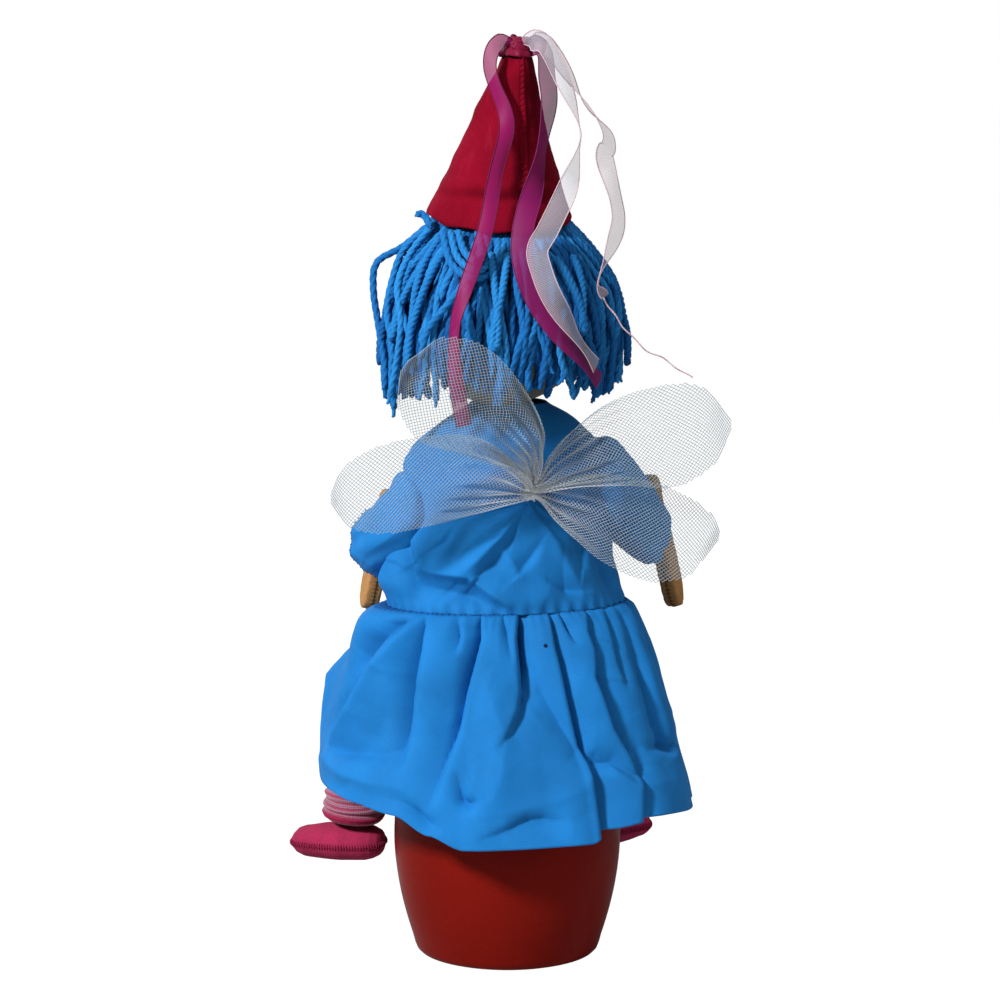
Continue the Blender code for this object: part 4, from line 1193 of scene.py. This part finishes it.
def hair_line(rng, degrees, layer, length):
    """The middle line of one strand that hangs from under the brim."""
    down = np.linspace(0.0, length, 16)
    free = np.clip(down * 3, 0, 1)
    wave, wave2 = rng.uniform(0, TAU), rng.uniform(0, TAU)
    swing = rng.uniform(2.0, 7.0) * np.sin(down * rng.uniform(3, 8) + wave) * free
    angle = np.radians(degrees + swing + rng.uniform(-9, 9) * down)
    out = np.interp(down, HAIR_DOWN, HAIR_OUT) - 2.4 - layer - 3.0 * np.clip(1 - down * 8, 0, 1)
    out = out + rng.uniform(0.8, 2.6) * np.sin(down * 7 + wave2) * free - 0.8
    out = out - rng.uniform(0, 5.0) * np.clip((down - 0.6) / 0.4, 0, 1)
    if rng.random() < 0.22 and abs(math.sin(math.radians(degrees))) < 0.55:
        out = out + rng.uniform(2.0, 5.5) * np.sin(np.clip(down * rng.uniform(1.0, 1.6), 0, 1) * math.pi)
    z = hair_height(down, angle, 350.0)
    skull = np.sqrt(np.clip(1 - ((z - HEAD[2]) / HEAD_HALF[2]) ** 2, 0, 1)) * HEAD_HALF[0] + 2.6
    return round_head(np.maximum(out, np.where(z < 340, skull, 0)), angle, z)


def bight_line(degrees, width, top, low):
    """A loop of yarn that hangs from the share top to the share low of the way down and comes back."""
    t = np.linspace(0, 1, 15)
    bow = np.sin(math.pi * t)
    down = top + (low - top) * bow
    angle = np.radians(degrees + width * (t - 0.5) + 3 * np.sin(7 * t))
    out = np.interp(down, HAIR_DOWN, HAIR_OUT) + 0.2 + 1.0 * bow
    return round_head(out, angle, hair_height(down, angle, 346.0))


def fray(heap, rng, line, tone):
    """The three plies of a cut end, spreading apart."""
    tip = line[-1]
    run = unit(tip - line[-3])
    for _ in range(3):
        spread = np.array([rng.uniform(-1, 1), rng.uniform(-1, 1), rng.uniform(-0.3, 0.2)]) * 0.6
        length = rng.uniform(1.0, 3.0)
        places = [tip - run * 1.5, tip + run * length * 0.5 + spread * 0.8, tip + run * length + spread * 2.0]
        verts, faces = tube_mesh(curve_points(places, 7), np.linspace(1.1, 0.6, 7), 6)
        heap.add(verts, faces, strand=tone, groove=0.8)


def add_layers(heap, rng, start, end, length):
    """Strands side by side in three layers; only the outer one shows its frayed ends."""
    for layer, step in HAIR_LAYERS:
        outer = layer == 0.0
        degrees = start + 2.0
        while degrees < end - 1.5:
            reach = length * (rng.uniform(0.80, 1.0) if outer else rng.uniform(0.86, 1.03))
            line = curve_points(hair_line(rng, degrees, layer, reach), 60 if length > 0.5 else 34)
            tone = rng.random()
            verts, faces, groove = strand_mesh(line, rng.uniform(1.65, 2.05), rng.uniform(12, 15.5),
                                               rng.uniform(0, TAU))
            heap.add(verts, faces, strand=tone, groove=groove)
            if outer:
                fray(heap, rng, line, tone)
            degrees += step * rng.uniform(0.85, 1.25)


def add_bights(heap, rng, bights):
    for degrees, top in bights:
        low = rng.uniform(0.62, 0.85)
        line = curve_points(bight_line(degrees, rng.uniform(9, 14), top, low), 96)
        verts, faces, groove = strand_mesh(line, 1.9, 8.5, rng.uniform(0, TAU))
        heap.add(verts, faces, strand=rng.random(), groove=groove)


def add_loose(heap, rng, lines):
    for places in lines:
        line = curve_points(places, 65)
        tone = rng.uniform(0.4, 1.0)
        verts, faces, groove = strand_mesh(line, 1.8, 13.0, rng.uniform(0, TAU))
        heap.add(verts, faces, strand=tone, groove=groove)
        hangs_free = places[-1][2] < 300
        if hangs_free:
            fray(heap, rng, line, tone)


def build_hair(yarn):
    rng = random.Random(41)
    loose = {name: list(lines) for name, lines in LOOSE_YARN.items()}
    loose["hair_back"] += [coil_line(half, drop) for half, drop in COIL_TURNS]
    for name, (start, end, length) in HAIR.items():
        heap = Heap()
        add_layers(heap, rng, start, end, length)
        add_bights(heap, rng, HAIR_BIGHTS.get(name, ()))
        add_loose(heap, rng, loose.get(name, ()))
        heap.put(name + "_yarn", yarn, "head", replaces=[name], slot="blue_yarn")


# ---------- hat ----------

BRIM = np.array([4.0, 0.0, 348.5])
BRIM_RADIUS, TIP_RADIUS = 34.0, 8.0
HAT_TIP = np.array([-0.6, 16.0, 420.0])
SEAM_DEGREES = 98


def hat_grid(rows, columns):
    share = np.linspace(0, 1, rows)[:, None]
    turn = angles(columns)[None, :]
    degrees = np.degrees(turn)
    radius = BRIM_RADIUS + (TIP_RADIUS - BRIM_RADIUS) * share ** 0.92 - 0.7
    centre = BRIM + (HAT_TIP - BRIM) * share[..., None]
    x, y = radius * np.cos(turn), radius * np.sin(turn)
    points = centre + np.stack([x, y, -y * BRIM_SLOPE * (1 - share)], axis=-1)

    seam = np.exp(-degrees_from(degrees, SEAM_DEGREES - 6 * share) ** 2 / 6.0)
    lip = np.exp(-degrees_from(degrees, SEAM_DEGREES + 5 - 6 * share) ** 2 / 16.0)
    z = points[..., 2]
    back_left = np.clip(np.cos(np.radians(degrees - 70)), 0, 1)
    crease = (1.2 * bell(z - 361 - 0.05 * x, 3.0) - 1.7 * bell(z - 356 - 0.05 * x, 2.2)) * back_left
    pinch = -1.4 * np.clip((share - 0.82) / 0.18, 0, 1) * (0.5 + 0.5 * np.cos(5 * turn))
    push = 0.9 * lip - 0.6 * seam + crease + pinch + rumple(points, 20, 1.5, 2.0) + rumple(points, 7, 0.45)
    out = np.stack([np.cos(turn), np.sin(turn), 0.3 + 0 * turn], axis=-1)
    points = points + out * push[..., None]
    points[0, :, 2] += 0.7 * np.sin(turn[0] * 9) - 0.3
    return points


def build_hat():
    rows, columns = 90, 160
    points = hat_grid(rows, columns)
    hat = put_cloth("hat_felt", points, FELT_THICK, hat_felt(), "head", "hat_cone", "crimson_felt")
    stitches = Heap()
    seam_column = int(SEAM_DEGREES / 360 * columns)
    lift = np.array([0, 0.9, 0.2])
    for r in range(3, rows - 5, 3):
        column = seam_column - int(1.5 * r / rows)
        a, b = points[r, column - 2], points[r + 1, column + 2]
        stitches.stitch([a - lift * 0.6, (a + b) / 2 + lift, b - lift * 0.6], 0.17)
    thread = stitches.put("hat_seam_stitches", felted("hat_thread", (0.15, 0.002, 0.012), 0.9, 0.2), "head",
                          slot="crimson_felt")


# ---------- ribbons ----------

RIBBON_ROWS = 150
# half width, then the middle line from the knot down
RIBBONS = {
    "ribbon_magenta_left": (3.6, [
        (3, 20, 427), (8, 21, 427), (12, 22, 423), (13.5, 23, 416), (12, 25, 408), (8, 29, 396), (8, 32, 386),
        (14, 38, 369), (21, 46, 343), (32, 54, 317), (37, 56, 301), (37, 57, 280), (33, 56, 257)]),
    "ribbon_magenta_right": (5.0, [
        (-3, 20, 424), (-8, 21, 425), (-12, 23, 421), (-12, 27, 411), (-12, 31, 399), (-8, 35, 381),
        (-4, 39, 365), (4, 48, 344), (5, 53, 329), (0, 56, 313), (-11, 57, 297), (-22, 54, 285),
        (-31, 50, 275)]),
    "ribbon_pale_inner": (5.0, [
        (-2, 22, 427), (-6, 24, 427.5), (-12, 27, 424), (-19, 33, 407), (-24, 38, 390), (-24, 40, 381),
        (-18, 44, 363), (-7, 51, 344), (-1, 55, 335), (-2, 58, 326), (-6, 60, 315), (-15, 58, 301),
        (-29, 52, 282)]),
    "ribbon_pale_outer": (5.0, [
        (-5, 20, 426), (-11, 20, 426), (-17, 22, 421), (-28, 29, 401), (-38, 33, 387), (-39, 34, 380),
        (-37, 35, 375), (-41, 39, 357), (-42, 41, 347), (-39, 44, 338), (-31, 47, 320),
        (-34, 48, 313)]),
}
# colour and alpha, colour of the woven edge, slot, and how far it turns in radians
RIBBON_LOOKS = {
    "ribbon_magenta_left": ((0.20, 0.003, 0.075), 0.87, (0.11, 0.004, 0.04), "magenta_organza", 0.42),
    "ribbon_magenta_right": ((0.165, 0.003, 0.075), 0.85, (0.16, 0.01, 0.09), "magenta_organza", 0.45),
    "ribbon_pale_inner": ((0.46, 0.43, 0.50), 0.44, (0.60, 0.45, 0.50), "pale_organza", 0.55),
    "ribbon_pale_outer": ((0.50, 0.40, 0.44), 0.52, (0.55, 0.38, 0.43), "pale_organza", 0.50),
}


def strip(line, half, turns):
    """Rows of seven points across a ribbon that twists by turns, in radians, along its length."""
    out = (line - [3.0, 0.0, 0.0]) * [1, 1, 0]
    _, normal, across = frames_along(line, out)
    c, s = np.cos(turns)[:, None], np.sin(turns)[:, None]
    side = across * c + normal * s
    face = normal * c - across * s
    width = half * np.clip((np.arange(len(line)) + 2.0) / 6, 0.35, 1.0)
    at = np.linspace(-1, 1, 7)
    cup = 0.5 * (1 - at ** 2)
    return line[:, None] + side[:, None] * (width[:, None] * at)[..., None] + face[:, None] * cup[:, None]


def build_ribbons():
    t = np.linspace(0, 1, RIBBON_ROWS)
    for name, (half, places) in RIBBONS.items():
        colour, alpha, edge_colour, slot, turn_size = RIBBON_LOOKS[name]
        line = curve_points(places, 400)
        turns = turn_size * (np.sin(TAU * 1.6 * t + half) * 0.9 + 0.5 * np.sin(TAU * 3.3 * t + 1.0))
        points = strip(evenly(line, RIBBON_ROWS), half - 0.25, turns)
        sheer = organza(name + "_sheer", colour, alpha)
        cloth = put(name + "_cloth", points, grid_faces(RIBBON_ROWS, 7), sheer, "head", [name],
                    uv=grid_uv(points), slot=slot)
        both = Heap()
        for column in (0, 6):
            both.add(*tube_mesh(points[:, column], 0.26, 6))
        edges = both.put(name + "_edges", organza(name + "_edge", edge_colour, 1.0), "head", slot=slot)


# tilt and spin in radians, half sizes along x, y and z, half width
KNOT_BANDS = [(0.5, 0.2, (6.2, 5.2, 6.4), 2.6), (-0.7, 1.1, (5.9, 5.6, 6.0), 2.4),
              (1.35, 2.0, (5.4, 5.2, 4.6), 2.2), (0.05, 2.7, (5.2, 4.8, 6.2), 2.0)]
# radius and height over the tip of the hat, from the knot's edge inwards
KNOT_CAP = [(7.9, -0.6), (7.8, 0.3), (7.3, 1.2), (6.2, 2.2), (4.8, 3.4), (3.4, 5.0)]


def knot_band(centre, tilt, spin, size, half):
    """One band of ribbon wound round the knot."""
    t = np.linspace(0, TAU, 70)
    ring = np.stack([np.cos(t) * size[0], np.sin(t) * size[1] * math.cos(tilt),
                     np.sin(t) * size[2] * math.sin(tilt) + 0.5 * np.sin(3 * t)], axis=1)
    c, s = math.cos(spin), math.sin(spin)
    spun = ring @ np.array([[c, s, 0], [-s, c, 0], [0, 0, 1]])
    face = unit(spun)
    side = np.cross(unit(np.gradient(spun, axis=0)), face)
    at = np.linspace(-1, 1, 9)
    bulge = 0.5 - 0.9 * at ** 2 + 0.35 * np.sin(at * 7)
    points = (centre + spun)[:, None] + side[:, None] * (half * at)[:, None] + face[:, None] * bulge[:, None]
    return points.reshape(-1, 3), grid_faces(len(t), len(at))


def knot_cap():
    """The pleated skirt of ribbon over the tip of the hat."""
    turn = np.arange(73) * TAU / 72
    rings = []
    for radius, rise in KNOT_CAP:
        pleat = radius * (1 + 0.05 * np.sin(9 * turn) + 0.03 * np.sin(17 * turn + rise))
        wobble = 0.5 * np.sin(turn * 2 + 0.6) if rise < 1 else 0.0
        back = 0.16 * min(rise, 0)
        x, y = pleat * np.cos(turn) * 0.98, pleat * np.sin(turn) * 0.9 - back
        rings.append(HAT_TIP + [0.6, 0.6, 0.8] + np.stack([x, y, rise + wobble + 0 * turn], axis=1))
    return np.vstack(rings), grid_faces(len(rings), len(turn))


def build_knot():
    heap = Heap()
    for band in KNOT_BANDS:
        heap.add(*knot_band(HAT_TIP + [-1.2, 0.0, 4.3], *band))
    heap.add(*knot_cap())
    knot = heap.put("knot_bands", organza("knot_sheer", (0.20, 0.003, 0.035), 0.94), "head",
                    replaces=["ribbon_knot"], slot="magenta_organza")
    thicken(knot, RIBBON_THICK, 0.0)


def build_thread():
    """The thread that has come loose from the end of the outer pale ribbon."""
    line = curve_points([(-33.4, 48.5, 312.8), (-36.5, 51, 306.2), (-48.5, 55, 291.4), (-59.7, 57, 284.6),
                         (-71.9, 59, 276.3)], 90)
    _, normal, other = frames_along(line, (0, 1, 0))
    t = np.linspace(0, 1, 90)
    line = line + normal * (0.35 * np.sin(t * 40))[:, None] + other * (0.4 * np.sin(t * 23 + 1))[:, None]
    plies = two_ply(line, 180, 0.2, (0, 1, 0), 0.24, sides=6)
    plies.put("loose_thread_plies", felted("thread_pink_grey", (0.48, 0.33, 0.36), 0.85, 0.4), "head",
              replaces=["ribbon_loose_thread"], slot="pale_organza")


# ---------- wings ----------

NET_PITCH, NET_THREAD = 1.27, 0.35
EDGE_POINTS = 300
# upper edge, then lower edge, from the gather to the tip
WINGS = {
    "wing_upper_left": (
        [(-2, 42, 228), (-4, 47, 236), (-4, 52, 244), (-2, 62, 256), (8, 68, 275), (25, 73, 293),
         (46, 76, 299), (64, 78, 289)],
        [(-1, 42, 226), (2, 46, 231), (8, 52, 236), (20, 62, 240), (37, 69, 246), (56, 73, 252),
         (66, 76, 266), (66, 78, 285)]),
    "wing_lower_left": (
        [(-1, 40, 225), (2, 42, 230), (11, 43, 242), (26, 45, 251), (48, 47, 252), (70, 48, 248),
         (86, 46, 239), (92, 45, 227)],
        [(-1, 40, 223), (3, 42, 221), (11, 43, 219), (26, 45, 215), (44, 47, 211), (66, 48, 208),
         (83, 46, 211), (92, 45, 222)]),
    "wing_upper_right": (
        [(-3, 41, 227), (-5, 45, 231), (-9, 47, 241), (-18, 48, 252), (-33, 52, 265), (-54, 57, 273),
         (-75, 61, 273), (-90, 62, 258)],
        [(-3, 41, 225), (-6, 45, 225), (-14, 46, 226), (-28, 48, 227), (-44, 52, 227), (-64, 57, 226),
         (-82, 61, 237), (-90, 62, 252)]),
    "wing_lower_right": (
        [(-3, 40, 224), (-8, 41, 227), (-20, 42, 231), (-34, 43, 232), (-50, 43, 230), (-68, 43, 224),
         (-84, 42, 214), (-91, 41, 203)],
        [(-3, 40, 222), (-7, 41, 219), (-13, 42, 211), (-22, 43, 202), (-36, 43, 190), (-56, 43, 181),
         (-76, 42, 183), (-91, 41, 199)]),
}


class Wing:
    """A square net between two edges, cut on the slant and drawn together at the gather."""

    def __init__(self, order, edges):
        upper, lower = (curve_points(places, EDGE_POINTS) for places in edges)
        self.order = order
        self.middle = (upper + lower) / 2
        self.length = travelled(self.middle)[-1]
        self.across = unit(upper - lower)
        self.halves = np.linalg.norm(upper - lower, axis=1) / 2
        self.face = unit(np.cross(self.across, np.gradient(self.middle, axis=0)))
        self.widest = self.halves.max()
        self.turning = self.halves.argmax() / (EDGE_POINTS - 1)    # share of the way out where it is widest

    def knot(self, i, j):
        """The place of the net's knot (i, j), or None past the wing's edges."""
        u, v = (i + j) * NET_PITCH / math.sqrt(2), (i - j) * NET_PITCH / math.sqrt(2)
        s = u / self.length
        if s < 0 or s > 0.998 or abs(v) > self.widest:
            return None
        low = min(int(s * (EDGE_POINTS - 1)), EDGE_POINTS - 2)
        part = s * (EDGE_POINTS - 1) - low
        half = self.halves[low] + (self.halves[low + 1] - self.halves[low]) * part
        gathered = s < self.turning
        if not gathered and abs(v) > half:
            return None
        squeeze = half / self.widest if gathered else 1.0
        bunch = max(0.0, 1 - s / max(self.turning, 0.3)) if gathered else 0.0
        aside = (1 - bunch) * v * squeeze + bunch * half * math.sin(math.pi / 2 * v / self.widest)
        fade = math.exp(-(max(0.0, s - 0.10) / 0.42) ** 2) + 0.08
        aside += 0.9 * math.cos(v * 0.85 + self.order) * fade * (1 - squeeze)
        fold_size = 0.25 + 1.7 * math.sqrt(max(0.0, 1 - squeeze ** 2))
        wave = math.sin(v * 0.85 + 2.2 * math.sin(v * 0.19 + self.order * 1.7) + 0.8 * math.sin(s * 5))
        bulge = noise.noise(Vector((u / 19, v / 15, self.order * 3.1))) * 2.4 * min(1.0, s * 2)
        sway = 1.2 * math.sin(v * 0.14 + self.order) * s
        middle = self.middle[low] + (self.middle[low + 1] - self.middle[low]) * part
        return middle + self.across[low] * aside + self.face[low] * (fold_size * wave * fade + bulge + sway)

    def mesh(self):
        """The net's knots and its meshes that have all four of them."""
        span = int((self.length + 2 * self.widest) / NET_PITCH)
        both = range(-span, span + 2)
        near = [(i, j) for i in both for j in both
                if -2 <= i + j <= 2 * span + 2 and abs(i - j) * NET_PITCH / 1.41 < self.widest + 5]
        places = {key: self.knot(*key) for key in near}
        corners = [((i, j), (i + 1, j), (i + 1, j + 1), (i, j + 1)) for i, j in near]
        whole = [loop for loop in corners if all(places.get(key) is not None for key in loop)]
        used = {key: index for index, key in enumerate(dict.fromkeys(key for loop in whole for key in loop))}
        return np.array([places[key] for key in used]), [tuple(used[key] for key in loop) for loop in whole]


def build_wings(net):
    for order, (name, edges) in enumerate(WINGS.items()):
        verts, faces = Wing(order, edges).mesh()
        wing = put(name + "_net", verts, faces, net, "figure", [name], slot="white_net", flat=True)
        modify(wing, "WIREFRAME", thickness=NET_THREAD * MM, use_even_offset=False, use_boundary=True)


def build_gather():
    """A lump of bunched net, tied down with stitches."""
    centre = np.array([-2.0, 38.0, 224.0])
    heap = Heap()
    rng = random.Random(7)
    for _ in range(13):
        turn = rng.uniform(0, math.pi)
        reach = rng.uniform(2.2, 4.4)
        run = np.array([math.cos(turn), 0, math.sin(turn)]) * reach
        off = np.array([rng.uniform(-1.2, 1.2), 0, rng.uniform(-1.2, 1.2)])
        heap.stitch([centre + off - run, centre + off * 0.6 - run * 0.5 + [0, 2.0, 0],
                     centre + off * 0.3 + run * 0.5 + [0, 2.2, 0], centre + off + run], 0.36,
                    count=12, sides=7, reference=(0, 0.1, 1))
    rows, sides = 14, 30
    t = np.linspace(0.1, math.pi - 0.1, rows)[:, None]
    turn = angles(sides)[None, :]
    x, y, z = 3.4 * np.sin(t) * np.cos(turn), 2.0 * np.cos(t) + 0 * turn, 4.2 * np.sin(t) * np.sin(turn)
    lump = np.stack([x, y, z], axis=-1)
    lump = centre + lump * (1 + 0.10 * np.sin(9 * turn))[..., None]
    heap.add(lump.reshape(-1, 3), closed_faces(rows, sides))
    heap.put("gather_stitches", felted("net_thread", (0.75, 0.76, 0.79), 0.8, 0.3, 0.08), "figure",
             replaces=["wing_gather"], slot="white_net")


# ---------- the whole puppet ----------

def main():
    sides = ((1, "left"), (-1, "right"))
    build_camera()
    build_floor()
    build_light()
    build_stand()
    calico = woven("calico", (0.62, 0.50, 0.36), 0.9, sheen=0.2)
    build_body(calico)
    build_neck()
    for side, name in sides:
        build_thigh(side, name, calico)
    cotton = woven("cotton_blue", (0.006, 0.158, 0.455), 0.55, 0.8, 0.04, 0.12)
    build_bodice(cotton)
    build_skirt(cotton)
    tan = felted("tan_felt", (0.34, 0.17, 0.06))
    dark_tan = felted("tan_thread", (0.13, 0.06, 0.02), 0.9, 0.2)
    knit = knit_striped()
    pink = felted("shoe_pink_felt", (0.30, 0.018, 0.065))
    pink_edge = felted("shoe_pink_edge", (0.24, 0.012, 0.05), 0.9, 0.3)
    for side, name in sides:
        build_sleeve(cotton, side, name)
        build_hand(side, name, tan, dark_tan)
        build_leg(side, name, knit, pink, pink_edge)
    build_head()
    for side, name in sides:
        build_eye(name, 15.0 * side)
    build_nose()
    build_mouth()
    build_hair(yarn_blue())
    build_hat()
    build_ribbons()
    build_knot()
    build_thread()
    build_wings(net_white())
    build_gather()


main()
